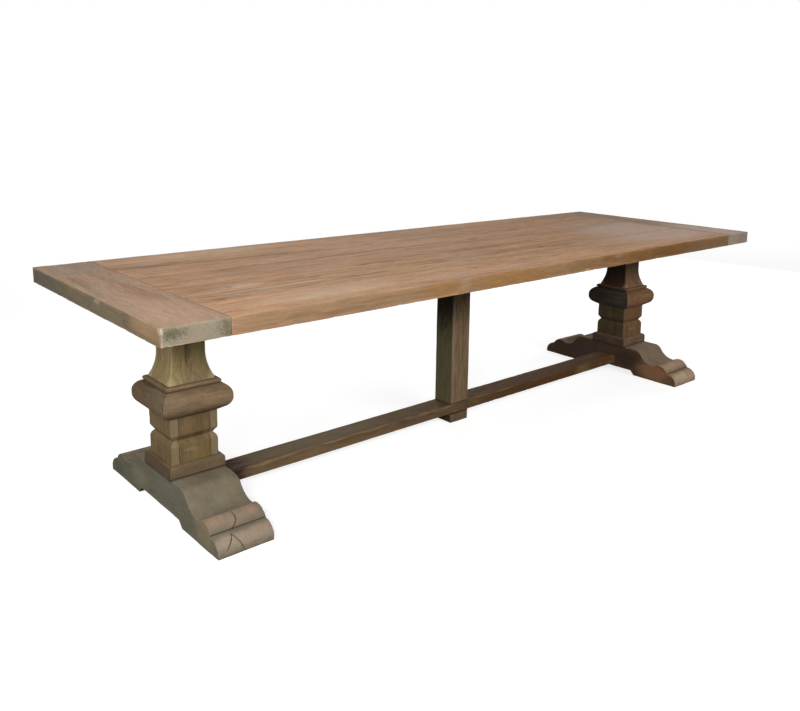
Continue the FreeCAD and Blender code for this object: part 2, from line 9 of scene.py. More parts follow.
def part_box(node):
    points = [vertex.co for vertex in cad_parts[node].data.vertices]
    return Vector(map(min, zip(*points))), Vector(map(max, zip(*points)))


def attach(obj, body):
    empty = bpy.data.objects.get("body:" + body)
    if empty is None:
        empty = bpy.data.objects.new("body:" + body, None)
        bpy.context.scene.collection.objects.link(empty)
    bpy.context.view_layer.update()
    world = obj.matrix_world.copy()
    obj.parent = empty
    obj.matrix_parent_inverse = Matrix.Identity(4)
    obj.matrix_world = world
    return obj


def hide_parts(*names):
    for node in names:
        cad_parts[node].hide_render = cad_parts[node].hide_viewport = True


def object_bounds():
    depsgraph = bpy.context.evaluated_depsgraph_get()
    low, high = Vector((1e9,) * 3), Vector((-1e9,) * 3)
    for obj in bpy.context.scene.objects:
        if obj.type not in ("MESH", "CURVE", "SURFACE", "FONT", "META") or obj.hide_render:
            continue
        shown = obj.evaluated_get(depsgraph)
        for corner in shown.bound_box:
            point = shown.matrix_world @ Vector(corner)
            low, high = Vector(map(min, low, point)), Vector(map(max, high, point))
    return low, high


# Worn timber dress of a refectory table. All lengths are in metres, in the frame of the solids.
# Left is -X, the end near the camera, and front is -Y, the long side near the camera.
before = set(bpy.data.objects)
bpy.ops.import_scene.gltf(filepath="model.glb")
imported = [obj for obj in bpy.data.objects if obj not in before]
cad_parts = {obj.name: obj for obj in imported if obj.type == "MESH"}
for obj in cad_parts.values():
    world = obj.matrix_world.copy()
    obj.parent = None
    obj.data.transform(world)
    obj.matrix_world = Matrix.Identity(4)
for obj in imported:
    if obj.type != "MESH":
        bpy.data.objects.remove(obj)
CAD_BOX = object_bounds()
SIDES = {"left": -1, "right": 1}
FACES = {"inner": (1, 0), "outer": (-1, 0), "front": (0, -1), "back": (0, 1)}
FRONT, BACK = (0.0, -1.0, 0.0), (0.0, 1.0, 0.0)
LEFT, RIGHT = (-1.0, 0.0, 0.0), (1.0, 0.0, 0.0)
UP = (0.0, 0.0, 1.0)

# Places read from the solids
TOP_LOW, TOP_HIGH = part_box("breadboard_end_left")[0].z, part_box("breadboard_end_left")[1].z
TOP_END, TOP_EDGE = CAD_BOX[1].x, CAD_BOX[1].y
SHOULDER_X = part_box("breadboard_end_right")[0].x
FOOT_LOW, FOOT_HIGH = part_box("foot_right")
PEDESTAL_X = (FOOT_LOW.x + FOOT_HIGH.x) / 2
SHAFT_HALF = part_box("shaft_board_outer_right")[1].y
SHAFT_BOARD = SHAFT_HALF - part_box("shaft_board_front_right")[1].x + PEDESTAL_X
PLINTH_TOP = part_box("plinth_front_right")[1].z
PLINTH_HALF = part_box("plinth_outer_right")[1].x - PEDESTAL_X
TORUS_LOW, TORUS_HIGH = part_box("torus_front_right")[0].z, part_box("torus_front_right")[1].z
TORUS_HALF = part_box("torus_outer_right")[1].x - PEDESTAL_X
NECK_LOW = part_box("bead_plate_right")[1].z
BEARER_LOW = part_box("bearer_right")[0].z
STRETCHER_LOW, STRETCHER_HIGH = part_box("stretcher")[0].z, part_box("stretcher")[1].z
POST_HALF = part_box("centre_post")[1].x

# Fit between a dressed piece and the fasteners that end flush with the solids
FLUSH_GAP = 0.0003

# Profile points, as shares of the size that they follow
FOOT_TOE_SHARES = (0.998, 0.15)
FOOT_LOWER_ROUND_SHARES = (0.955, 0.34)
FOOT_GROOVE_SHARES = (0.879, 0.42)
FOOT_ROLL_SHARES = (0.795, 0.635)
FOOT_ROLL_START_SHARES = (0.688, 0.566)
FOOT_HOLLOW_SHARES = (0.566, 0.66)
FOOT_SHOULDER_END_SHARES = (0.495, 0.868)
FOOT_SHOULDER_SHARES = (0.458, 0.962)
FOOT_SHOULDER_START_SHARES = (0.41, 1.0)
TORUS_UNDERSIDE_SHARES = (0.6, 0.14)
TORUS_LOWER_SHARES = (0.89, 0.29)
TORUS_WIDEST_SHARES = (1.0, 0.53)
TORUS_UPPER_SHARES = (0.84, 0.82)
TORUS_TOP_SHARES = (0.3, 1.0)
COVE_MIDDLE_SHARES = (0.27, 0.5)
NOTCH_HEIGHT_SHARE = 0.49
NOTCH_ROUND_SHARES = (0.3, 0.4)

# Profile sizes
RELIEF_HALF = 0.145
RELIEF_HEIGHT = 0.022
RELIEF_SLOPE = 0.020
NOTCH_DEPTH = 0.012
NOTCH_RISE = 0.018
NOTCH_FALL = 0.022
PLINTH_ROUND = 0.013
PLINTH_ARRIS = 0.0015
NECK_TOP_HALF = 0.058
NECK_COVE_HEIGHT = 0.084
NECK_FACET = 0.008
COUNTERBORE_DIAMETER = 0.027
COUNTERBORE_DEPTH = 0.014
COUNTERBORE_SPREAD = 0.040
PIN_SPREAD = 0.080
PIN_DIAMETER = 0.0025
PIN_HOLE_DEPTH = 0.0016
PIN_LINES = np.array([-0.0022, -0.0012, 0.0, 0.0012, 0.0022])

# Worn arrises of each kind of piece: depth, reach and the size of the worn patches
WEAR = {
    "board": (0.0025, 0.004, (0.05, 0.02, 0.02)),
    "end": (0.0028, 0.0045, (0.02, 0.045, 0.02)),
    "wide_shaft": (0.0014, 0.003, (0.03, 0.03, 0.03)),
    "narrow_shaft": (0.0004, 0.003, (0.03, 0.03, 0.03)),
    "bead": (0.0012, 0.006, (0.03, 0.03, 0.03)),
    "neck": (0.0014, 0.003, (0.03, 0.03, 0.03)),
    "foot": (0.0025, 0.0045, (0.025, 0.04, 0.025)),
    "rail": (0.002, 0.004, (0.06, 0.02, 0.02)),
    "post": (0.002, 0.004, (0.02, 0.02, 0.06)),
}

# Uneven surface of each kind of piece: depth and the size of its swells
UNEVEN = {
    "board": (0.0005, (0.25, 0.05, 0.05)),
    "end": (0.0005, (0.05, 0.2, 0.05)),
    "shaft": (0.0004, (0.03, 0.03, 0.1)),
    "moulding": (0.0004, (0.04, 0.04, 0.02)),
    "bead": (0.0003, (0.05, 0.05, 0.05)),
    "neck": (0.0005, (0.03, 0.03, 0.09)),
    "foot": (0.0008, (0.05, 0.06, 0.05)),
    "rail": (0.0006, (0.2, 0.03, 0.03)),
    "post": (0.0006, (0.03, 0.03, 0.15)),
}

# Steps between the lattice lines of each kind of piece, along X, Y and Z
STEPS = {
    "outer_board": (0.007, 0.011, 0.010),
    "inner_board": (0.012, 0.011, 0.010),
    "end": (0.006, 0.007, 0.005),
    "shaft": (0.008, 0.006, 0.006),
    "neck": (0.005, 0.005, 0.007),
    "rail": (0.010, 0.006, 0.005),
    "post": (0.006, 0.006, 0.008),
}
MOULDING_STEP = 0.006
NOTCH_STEP = 0.002
COVE_STEP = 0.003

# Dirt in the seams between pieces, which at the foot of each neck is also painted contact shadow
SEAM_WIDTH = 0.0012
SEAM_DIRT_AND_SHADE = 0.8


# Numbers

def noise(points, size, seed):
    """Smooth random value from -1 to 1 at each point, with features of about this size."""
    cells = points / np.asarray(size) + 17.3
    base = np.floor(cells).astype(np.int64)
    part = cells - base
    blend = part * part * (3 - 2 * part)
    total = np.zeros(len(points))
    for corner in np.ndindex(2, 2, 2):
        spot = base + corner
        mixed = spot[:, 0] * 73856093 ^ spot[:, 1] * 19349663 ^ spot[:, 2] * 83492791 ^ seed * 50331653
        mixed = (mixed & 0xFFFFFFFF) * 1274126177 & 0xFFFFFFFF
        mixed = (mixed ^ mixed >> 15) * 2246822519 & 0xFFFFFFFF
        value = (mixed ^ mixed >> 13 & 0xFFFF) % 65536 / 65535
        total += np.prod(np.where(corner, blend, 1 - blend), axis=1) * value
    return 2 * total - 1


def near(distance, width):
    """1 at no distance, falling to 0 at this width."""
    return np.clip(1 - distance / width, 0, 1)


def arc(start, middle, end, count):
    """Points along the arc through three points of a plane."""
    a, b, c = (np.array(point, float) for point in (start, middle, end))
    centre = np.linalg.solve(2 * np.array([b - a, c - a]), [b @ b - a @ a, c @ c - a @ a])
    angles = [math.atan2(*(point - centre)[::-1]) for point in (a, b, c)]
    turn = [(q - p + math.pi) % (2 * math.pi) - math.pi for p, q in zip(angles, angles[1:])]
    sweep = angles[0] + np.linspace(0, sum(turn), count)
    return centre + np.linalg.norm(a - centre) * np.stack([np.cos(sweep), np.sin(sweep)], 1)


def curve_through(points, count):
    """Smooth path through given points."""
    points = np.array(points, float)
    padded = np.concatenate([2 * points[:1] - points[1:2], points, 2 * points[-1:] - points[-2:-1]])
    path = []
    for p, q, r, s in zip(padded, padded[1:], padded[2:], padded[3:]):
        for t in np.linspace(0, 1, count, endpoint=False):
            path.append(0.5 * (2 * q + (r - p) * t + (2 * p - 5 * q + 4 * r - s) * t * t
                               + (3 * q - p - 3 * r + s) * t ** 3))
    return np.array(path + [points[-1]])


# Dressed pieces: each is a lattice over the surface of a box, eased, worn, shaped and roughened

ARRIS_SHARES = np.array([0.0, 0.42, 0.73, 1.0])
LINE_GAP = 0.0004
STEP_GAP = 0.0002
CRACK_REACH = 0.01
NICK_SIZE_SHARE = 0.35


def lines(low, high, step, ease, extra=()):
    """Places of lattice lines, a step apart, closer over the eased ends and at the extra places."""
    start = low + ease[0] * ARRIS_SHARES
    far = high - ease[1] * ARRIS_SHARES[::-1]
    count = max(1, round((far[0] - start[-1]) / step))
    places = np.concatenate([start, np.linspace(start[-1], far[0], count + 1)[1:-1], far])
    for place in extra:
        if low + ease[0] < place < high - ease[1]:
            places = np.append(places[np.abs(places - place) > LINE_GAP], place)
    return np.sort(places)


def close_lines(middle, reach, step):
    """Extra lattice lines about a place that needs fine detail."""
    return np.arange(middle - reach, middle + reach + step / 2, step)


def stepped(places, steps):
    """Lattice lines with a close pair at each step, so that the step stays sharp."""
    for step in steps:
        places = places[np.abs(places - step) > 2 * STEP_GAP]
        places = np.concatenate([places, [step - STEP_GAP, step + STEP_GAP]])
    return np.sort(places)


def lattice(xs, ys, zs):
    """Points and outward quads of the surface of a box that is divided at these places."""
    shape = (len(xs), len(ys), len(zs))
    surface = np.ones(shape, bool)
    surface[1:-1, 1:-1, 1:-1] = False
    index = np.full(shape, -1)
    index[surface] = np.arange(surface.sum())
    points = np.stack(np.meshgrid(xs, ys, zs, indexing="ij"), -1)[surface]
    quads = []
    for axis in range(3):
        for end in (0, -1):
            sheet = np.take(index, end, axis)
            corners = [sheet[:-1, :-1], sheet[1:, :-1], sheet[1:, 1:], sheet[:-1, 1:]]
            if (end == 0) != (axis == 1):
                corners.reverse()
            quads.append(np.stack([corner.ravel() for corner in corners], 1))
    return points, np.concatenate(quads)


def eased(points, low, high, ease):
    """Rounds the arrises of a box by the radii at its low and high faces."""
    inner = np.clip(points, low + ease[:, 0], high - ease[:, 1])
    out = points - inner
    reach = np.linalg.norm(out / np.where(out < 0, ease[:, 0], ease[:, 1]), axis=1, keepdims=True)
    return inner + out / np.maximum(reach, 1)


def segment_distance(points, start, end):
    along = end - start
    share = np.clip((points - start) @ along / (along @ along), 0, 1)
    return np.linalg.norm(points - start - share[:, None] * along, axis=1)


def path_distance(points, path):
    """Distance of each point to a path, worked out near the path only."""
    path = np.array(path)
    close = np.all((points > path.min(0) - CRACK_REACH) & (points < path.max(0) + CRACK_REACH), axis=1)
    distance = np.full(len(points), CRACK_REACH)
    if close.any():
        found = [segment_distance(points[close], p, q) for p, q in zip(path, path[1:])]
        distance[close] = np.min(found, axis=0)
    return distance


class Piece:
    """Dressed piece under way: its points in box space first, and then in the frame."""

    def __init__(self, node, xs, ys, zs, ease, seed):
        self.node = node
        self.seed = seed
        self.points, self.quads = lattice(xs, ys, zs)
        self.low, self.high = self.points.min(0), self.points.max(0)
        self.ease = np.array(ease, float)
        self.wear = np.zeros(len(self.points))
        self.dirt_and_shade = np.zeros(len(self.points))

    def wear_arrises(self, depth, reach, patch_size, exposed=lambda points: 1.0):
        """Eases the arrises and wears them back unevenly where they are exposed."""
        size = np.array(patch_size)
        gaps = np.sort(np.minimum(self.points - self.low, self.high - self.points), axis=1)
        arris = np.exp(-(np.hypot(gaps[:, 0], gaps[:, 1]) / reach) ** 2)
        patches = noise(self.points, size, self.seed)
        nicks = np.clip(noise(self.points, size * NICK_SIZE_SHARE, self.seed + 1) - 0.5, 0, 1) * 2
        worn = arris * np.clip(0.15 + 0.2 * patches + nicks, 0, 1) * exposed(self.points)
        arris = arris * exposed(self.points)
        inner = np.clip(self.points, self.low + reach, self.high - reach)
        inward = inner - self.points
        inward /= np.maximum(np.linalg.norm(inward, axis=1, keepdims=True), 1e-9)
        self.points = eased(self.points, self.low, self.high, self.ease) + inward * (depth * worn)[:, None]
        self.wear = np.maximum(self.wear, arris * np.clip(0.5 + 0.5 * patches + nicks, 0, 1))

    def shape(self, function):
        """Bends the box into the piece's own form."""
        self.points = function(self.points)

    # Darkens points: dirt in cracks and joints, and painted shade along contact lines and in recesses.
    def soil_and_shade(self, amount):
        self.dirt_and_shade = np.maximum(self.dirt_and_shade, amount)

    def finish(self, material, uneven, cracks=()):
        """Makes the mesh, uneven along its normals and cracked, and puts it in place of its node."""
        rough, swell_size = uneven
        mesh = bpy.data.meshes.new("worn_" + self.node)
        mesh.from_pydata(self.points.tolist(), [], self.quads.tolist())
        mesh.polygons.foreach_set("use_smooth", np.ones(len(self.quads), bool))
        normals = np.zeros(len(self.points) * 3, np.float32)
        mesh.vertex_normals.foreach_get("vector", normals)
        offset = rough * (noise(self.points, swell_size, self.seed + 2) - 1)
        for path, width, depth, dirt_and_shade in cracks:
            groove = np.clip(1 - (path_distance(self.points, path) / width) ** 2, 0, 1)
            offset -= depth * groove
            self.soil_and_shade(dirt_and_shade * groove ** 0.5)
        self.points = self.points + normals.reshape(-1, 3) * offset[:, None]
        mesh.vertices.foreach_set("co", self.points.astype(np.float32).ravel())
        for label, values in (("wear", self.wear), ("dirt_and_shade", self.dirt_and_shade)):
            attribute = mesh.attributes.new(label, "FLOAT", "POINT")
            attribute.data.foreach_set("value", values.astype(np.float32))
        mesh.update()
        mesh.materials.append(material)
        made = bpy.data.objects.new("worn_" + self.node, mesh)
        bpy.context.scene.collection.objects.link(made)
        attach(made, "root")
        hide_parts(self.node)
        return made


# Materials

def rgb(red, green, blue):
    return (red, green, blue, 1.0)


def toned(colour, factor):
    return rgb(*(channel * factor for channel in colour[:3]))


class Shader:
    """Builds the nodes of one material or world."""

    def __init__(self, owner):
        self.owner = owner
        owner.use_nodes = True
        self.tree = owner.node_tree
        self.tree.nodes.clear()

    def link(self, value, socket):
        if isinstance(value, bpy.types.NodeSocket):
            self.tree.links.new(value, socket)
        elif value is not None:
            socket.default_value = value

    def node(self, kind, inputs=(), output=0, **settings):
        """Adds a node. Inputs are values or outputs, in a list by place or in a dict by name."""
        made = self.tree.nodes.new("ShaderNode" + kind)
        for key, value in settings.items():
            setattr(made, key, value)
        pairs = inputs.items() if isinstance(inputs, dict) else enumerate(inputs)
        for key, value in pairs:
            self.link(value, made.inputs[key])
        return made.outputs[output]

    def math(self, operation, *values):
        return self.node("Math", values, operation=operation)

    def vector(self, operation, *values, output=0):
        return self.node("VectorMath", values, output, operation=operation)

    def noise(self, vector, scale, detail, roughness=0.5):
        return self.node("TexNoise", {"Vector": vector, "Scale": scale, "Detail": detail,
                                      "Roughness": roughness})

    def ranged(self, value, low, high, to_low=0.0, to_high=1.0):
        return self.node("MapRange", [value, low, high, to_low, to_high], interpolation_type="SMOOTHSTEP")

    def mix(self, share, first, second, blend="MIX"):
        made = self.tree.nodes.new("ShaderNodeMix")
        made.data_type = "RGBA"
        made.blend_type = blend
        for place, value in ((0, share), (6, first), (7, second)):
            self.link(value, made.inputs[place])
        return made.outputs[2]

    def ramp(self, value, stops):
        made = self.tree.nodes.new("ShaderNodeValToRGB")
        self.link(value, made.inputs[0])
        elements = made.color_ramp.elements
        while len(elements) < len(stops):
            elements.new(1.0)
        for element, (place, colour) in zip(elements, stops):
            element.position = place
            element.color = colour
        return made.outputs[0]

    def attribute(self, name):
        return self.node("Attribute", output=2, attribute_name=name)

    def surface(self, colour, roughness, normal, metallic=0.0, specular=0.12):
        return self.output(self.node("BsdfPrincipled", {
            "Base Color": colour, "Roughness": roughness, "Normal": normal,
            "Metallic": metallic, "Specular IOR Level": specular}))

    def output(self, shader, kind="Material"):
        made = self.tree.nodes.new("ShaderNodeOutput" + kind)
        self.link(shader, made.inputs["Surface"])
        return self.owner


GRAIN_ORDER = {"x": (0, 1, 2), "y": (1, 0, 2), "z": (2, 0, 1)}
GRAIN_AXIS = {"x": (1, 0, 0), "y": (0, 1, 0), "z": (0, 0, 1)}
SEED_STEPS = (1.37, 0.71, 0.53)
SWAY_SCALES = (1.6, 5.0, 5.0)
SWAY_REACH = (0.0, 0.035, 0.035)
MARK_SWAY = (0.05, 0.03, 0.03)
RELIEF_DISTANCE = 0.0012

# Grain noises: features per metre along and across the grain, and detail
GRAIN_SCALES = {"broad": (1.3, 17.0, 3.0), "bands": (3.5, 75.0, 4.0), "flecks": (14.0, 95.0, 3.0),
                "fibres": (11.0, 420.0, 2.0), "pores": (45.0, 1400.0, 0.0)}

# Grain layers: noise, share without figure, share added by figure, and stops of the tone that multiplies
GRAIN_LAYERS = [
    ("bands", 0.0, 0.5, [(0.3, rgb(0.58, 0.53, 0.48)), (0.52, rgb(1, 1, 1)), (0.75, rgb(1.22, 1.2, 1.16))]),
    ("flecks", 0.15, 0.35, [(0.32, rgb(0.68, 0.64, 0.6)), (0.5, rgb(1, 1, 1)), (0.7, rgb(1.22, 1.22, 1.2))]),
    ("rings", 0.0, 0.3, [(0.0, rgb(0.76, 0.72, 0.67)), (0.6, rgb(1, 1, 1))]),
    ("fibres", 0.1, 0.35, [(0.3, rgb(0.66, 0.62, 0.58)), (0.55, rgb(1.06, 1.06, 1.06))]),
]


class Timber(Shader):
    """Nodes of weathered timber with its grain along an axis. A figure under 1 calms the grain."""

    def __init__(self, name, grain, seed, figure):
        super().__init__(bpy.data.materials.new("timber_" + name))
        self.figure = figure
        self.place = self.node("TexCoord", output=3)
        parts = self.tree.nodes.new("ShaderNodeSeparateXYZ")
        self.link(self.place, parts.inputs[0])
        along = self.node("CombineXYZ", [parts.outputs[axis] for axis in GRAIN_ORDER[grain]])
        self.along = self.vector("ADD", along, tuple(seed * step for step in SEED_STEPS))
        stretched = self.vector("MULTIPLY", self.along, SWAY_SCALES)
        sway = self.node("TexNoise", {"Vector": stretched, "Detail": 1.0}, output=1)
        self.sway = self.vector("SUBTRACT", sway, (0.5, 0.5, 0.5))
        swayed = self.vector("MULTIPLY_ADD", self.sway, SWAY_REACH, self.along)
        self.fields = {}
        for label, (lengthwise, crosswise, detail) in GRAIN_SCALES.items():
            scaled = self.vector("MULTIPLY", swayed, (lengthwise, crosswise, crosswise))
            self.fields[label] = self.noise(scaled, 1.0, detail)
        self.fields["rings"] = self.node(
            "TexWave", {"Vector": self.vector("MULTIPLY", swayed, (0.25, 1.0, 1.0)), "Scale": 38.0,
                        "Distortion": 2.5, "Detail": 2.0, "Detail Scale": 0.6},
            output=1, wave_type="RINGS", rings_direction="X")
        self.pits = self.ranged(self.fields["pores"], 0.64, 0.74)
        self.speckle = self.noise(self.along, 260.0, 3.0, 0.7)
        self.normal = self.node("NewGeometry", output=1)
        facing = self.vector("DOT_PRODUCT", self.normal, GRAIN_AXIS[grain], output=1)
        self.across = self.ranged(self.math("ABSOLUTE", facing), 0.6, 0.85)

    def long_grain(self, middle, dark, light, grey, grey_share):
        """Tone along the grain: bands, flecks, rings and fibres, grey weathering and pores."""
        stops = [(0.28, toned(middle, dark)), (0.5, middle), (0.74, toned(middle, light))]
        tone = self.ramp(self.fields["broad"], stops)
        for label, share, figured_share, stops in GRAIN_LAYERS:
            layer = self.ramp(self.fields[label], stops)
            tone = self.mix(share + self.figure * figured_share, tone, layer, "MULTIPLY")
        weather = self.ranged(self.noise(self.along, 5.0, 4.0, 0.6), 0.45, 0.72)
        tone = self.mix(self.math("MULTIPLY", weather, grey_share), tone, grey)
        return self.mix(self.math("MULTIPLY", self.pits, 0.5), tone, toned(middle, 0.3))

    def end_grain(self, end):
        """Tone across the grain: rings, specks and blotches."""
        specks = self.ranged(self.speckle, 0.55, 0.78, 0.0, 0.1 + 0.5 * self.figure)
        blotches = self.ranged(self.noise(self.along, 38.0, 3.0, 0.6), 0.5, 0.75, 0.0, 0.35)
        tone = self.ramp(self.fields["rings"], [(0.0, toned(end, 0.93)), (0.7, toned(end, 1.04))])
        tone = self.mix(specks, tone, toned(end, 0.55))
        return self.mix(blotches, tone, toned(end, 0.65))

    def marked(self, tone, marks):
        """Lays soft, ragged marks over a tone."""
        bands, flecks, fibres = (self.fields[label] for label in ("bands", "flecks", "fibres"))
        wobble = self.vector("MULTIPLY_ADD", self.sway, MARK_SWAY, self.place)
        ragged = self.math("MULTIPLY_ADD", self.math("ADD", bands, flecks), 0.6, -0.6)
        specks = self.math("MULTIPLY_ADD", self.speckle, 3.2 * self.figure, -1.5 * self.figure)
        ragged = self.math("ADD", ragged, self.math("MULTIPLY", specks, self.across))
        shade = self.math("MULTIPLY_ADD", fibres, 0.5, self.math("MULTIPLY_ADD", flecks, 0.5, 0.5))
        for centre, radii, colour, strength, *face in marks:
            local = self.vector("DIVIDE", self.vector("SUBTRACT", wobble, centre), radii)
            distance = self.math("ADD", self.vector("LENGTH", local, output=1), ragged)
            share = self.math("MULTIPLY", self.ranged(distance, 1.15, 0.35), strength)
            if face:
                turned_to = self.vector("DOT_PRODUCT", self.normal, face[0], output=1)
                share = self.math("MULTIPLY", share, self.ranged(turned_to, 0.5, 0.8))
            tone = self.mix(share, tone, self.vector("SCALE", colour[:3], None, None, shade))
        return tone

    def relief(self):
        """Fine relief of bands, fibres, pores and end grain."""
        bands = self.math("MULTIPLY", self.fields["bands"], 0.5)
        height = self.math("ADD", bands, self.math("MULTIPLY", self.fields["fibres"], 0.5))
        height = self.math("SUBTRACT", height, self.math("MULTIPLY", self.pits, 0.5))
        specks = self.math("MULTIPLY", self.speckle, self.across)
        height = self.math("ADD", height, self.math("MULTIPLY", specks, 0.6 * self.figure))
        return self.node("Bump", {"Strength": 0.15 + 0.4 * self.figure, "Distance": RELIEF_DISTANCE,
                                  "Height": height})


def wood(name, grain, seed, middle, dark=0.72, light=1.2, grey=rgb(0.20, 0.175, 0.13), grey_share=0.3,
         end=None, worn=1.25, figure=1.0, marks=()):
    """Weathered timber. Dark, light and worn are factors of the middle tone.

    Each mark is a soft stain, painted shade or painted light: (centre, radii, colour, strength), and the way
    that its face looks, if it keeps to one face.
    """
    s = Timber(name, grain, seed, figure)
    tone = s.long_grain(middle, dark, light, grey, grey_share)
    tone = s.mix(s.across, tone, s.end_grain(end or toned(middle, 0.95)))
    tone = s.marked(tone, marks)
    tone = s.mix(s.math("MULTIPLY", s.attribute("wear"), 0.4), tone, toned(middle, worn))
    # Darkening from the per-point attribute: dirt in cracks and joints, and painted shade along contact lines
    # and in recesses.
    tone = s.mix(s.math("MULTIPLY", s.attribute("dirt_and_shade"), 0.85), tone, toned(middle, 0.12))
    return s.surface(tone, s.ranged(s.fields["fibres"], 0.25, 0.75, 0.96, 0.82), s.relief())


def dark_iron(name):
    """Rusted dark iron of punched pins."""
    s = Shader(bpy.data.materials.new(name))
    bloom = s.noise(s.node("TexCoord", output=3), 400.0, 3.0, 0.6)
    tone = s.ramp(bloom, [(0.35, rgb(0.045, 0.035, 0.028)), (0.7, rgb(0.10, 0.06, 0.04))])
    bump = s.node("Bump", {"Strength": 0.3, "Distance": 0.0003, "Height": bloom})
    return s.surface(tone, s.ranged(bloom, 0.3, 0.7, 0.75, 0.9), bump)


def steel(name):
    """Dull zinc-plated steel."""
    s = Shader(bpy.data.materials.new(name))
    bloom = s.noise(s.node("TexCoord", output=3), 180.0, 4.0, 0.65)
    tone = s.ramp(bloom, [(0.3, rgb(0.20, 0.19, 0.17)), (0.6, rgb(0.46, 0.45, 0.42)),
                          (0.8, rgb(0.36, 0.27, 0.18))])
    bump = s.node("Bump", {"Strength": 0.3, "Distance": 0.0004, "Height": bloom})
    return s.surface(tone, s.ranged(bloom, 0.3, 0.7, 0.38, 0.6), bump, metallic=0.9, specular=0.5)


# The top

BOARDS = 7
TOP_TONES = [rgb(0.425, 0.25, 0.142), rgb(0.385, 0.231, 0.13), rgb(0.385, 0.225, 0.127),
             rgb(0.38, 0.226, 0.134), rgb(0.39, 0.23, 0.135), rgb(0.39, 0.232, 0.134),
             rgb(0.405, 0.247, 0.147)]
BOARD_LIPS = [0.0, 0.0004, 0.0001, 0.0006, 0.0002, 0.0005, 0.0001]
END_LIP = 0.0003
JOINT_EASE = 0.0012
JOINT_DEPTH = 0.0030
EDGE_EASE = 0.0025
UNDER_EASE = 0.001
CORNER_ROUND = 0.009
CHECK_PLACE_SHARES = (0.3, 0.7)
CHECK_START, CHECK_SPACING = -1.15, 0.31
CHECK_SHORTEST, CHECK_GROWTH = 0.10, 0.05
CHECK_BOW = 0.004
CHECK_DRIFT = 0.002
CHECK_WIDTH = 0.0011
CHECK_DEPTH = 0.0022
CHECK_REACH = 0.005
CHECK_STEP = 0.0009
MARK_REACH = 0.1
UMBER = (0.17, 0.095, 0.055)
RUSSET = (0.25, 0.13, 0.085)
PALE = (0.52, 0.38, 0.26)
ASH = rgb(0.36, 0.30, 0.25)

# Stains that run along X on the top: x, y, length, width, colour, strength
TOP_STAINS = [
    (-1.22, 0.30, 0.34, 0.035, UMBER, 0.6),
    (-0.80, 0.27, 0.75, 0.04, UMBER, 0.5),
    (-1.25, 0.02, 0.25, 0.03, RUSSET, 0.35),
    (-0.80, -0.03, 0.45, 0.10, RUSSET, 0.25),
    (-0.47, -0.11, 0.38, 0.030, UMBER, 0.6),
    (0.12, -0.09, 0.30, 0.020, UMBER, 0.4),
    (-1.08, -0.18, 0.22, 0.06, PALE, 0.5),
    (-1.14, -0.175, 0.03, 0.04, UMBER, 0.35),
    (-1.00, -0.25, 0.55, 0.02, PALE, 0.55),
    (-0.62, -0.25, 0.30, 0.03, UMBER, 0.5),
    (-0.30, -0.235, 0.40, 0.02, UMBER, 0.45),
    (-1.20, -0.31, 0.20, 0.02, UMBER, 0.4),
    (-0.66, -0.32, 0.10, 0.035, UMBER, 0.4),
    (0.20, 0.105, 0.09, 0.04, UMBER, 0.65),
    (0.272, -0.222, 0.05, 0.022, UMBER, 0.85),
    (-0.276, -0.39, 0.03, 0.018, UMBER, 0.8),
    (1.32, -0.26, 0.09, 0.03, UMBER, 0.55),
    (1.14, -0.30, 1.1, 0.40, (0.43, 0.315, 0.255), 0.75),
    (1.16, -0.08, 0.95, 0.40, (0.43, 0.315, 0.255), 0.75),
    (1.10, 0.05, 0.8, 0.5, ASH, 0.3),
    (0.35, 0.30, 1.2, 0.30, (0.31, 0.19, 0.115), 0.3),
    (-0.95, 0.42, 0.8, 0.2, PALE, 0.4),
    (-0.95, -0.42, 0.6, 0.16, PALE, 0.4),
]

# Stains of the long edges, from tan to deep brown:
# x, share of the thickness, length, height, colour, strength
EDGE_STAINS = [
    (0.0, 0.45, 5.0, 0.2, (0.33, 0.205, 0.115), 0.95),
    (-0.54, 0.5, 0.22, 0.1, (0.335, 0.175, 0.062), 0.8),
    (-0.435, 0.5, 0.06, 0.1, (0.365, 0.265, 0.17), 0.45),
    (-0.2, 0.5, 0.5, 0.2, (0.345, 0.178, 0.062), 0.8),
    (0.25, 0.5, 0.5, 0.1, (0.27, 0.15, 0.066), 0.85),
    (0.95, 0.5, 1.1, 0.3, (0.19, 0.092, 0.028), 0.97),
    (0.6, 0.4, 0.3, 0.05, (0.16, 0.083, 0.034), 0.6),
    (0.5, 0.6, 0.45, 0.1, (0.23, 0.112, 0.036), 0.75),
    (1.22, 0.5, 0.72, 0.1, (0.225, 0.13, 0.064), 0.85),
    (1.15, 0.1, 0.5, 0.03, (0.21, 0.135, 0.082), 0.7),
    (0.22, 0.1, 0.04, 0.02, (0.50, 0.42, 0.33), 0.7),
    (0.43, 0.75, 0.07, 0.022, (0.34, 0.235, 0.16), 0.4),
    (-1.0, 0.35, 0.5, 0.02, (0.22, 0.13, 0.065), 0.5),
    (-0.75, 0.7, 0.3, 0.012, (0.25, 0.14, 0.07), 0.5),
]

# Stains of a cross board's outer face: y, share of the thickness, reach, height, colour, strength
END_FACE_STAINS = [
    (0.0, 0.5, 2.0, 2.0, (0.125, 0.10, 0.066), 0.97),
    (0.40, 0.5, 0.20, 0.06, (0.105, 0.095, 0.075), 0.6),
    (0.13, 0.8, 0.06, 0.03, (0.18, 0.135, 0.062), 0.45),
    (-0.09, 0.8, 0.03, 0.012, (0.27, 0.235, 0.17), 0.7),
    (-0.20, 0.6, 0.12, 0.025, (0.155, 0.122, 0.068), 0.5),
    (-0.315, 0.6, 0.05, 0.03, (0.08, 0.068, 0.046), 0.6),
    (-0.43, 0.6, 0.13, 0.05, (0.25, 0.16, 0.088), 0.85),
    (-0.42, 0.1, 0.12, 0.012, (0.12, 0.088, 0.052), 0.6),
    (-0.51, 0.9, 0.012, 0.02, (0.40, 0.34, 0.25), 0.5),
]

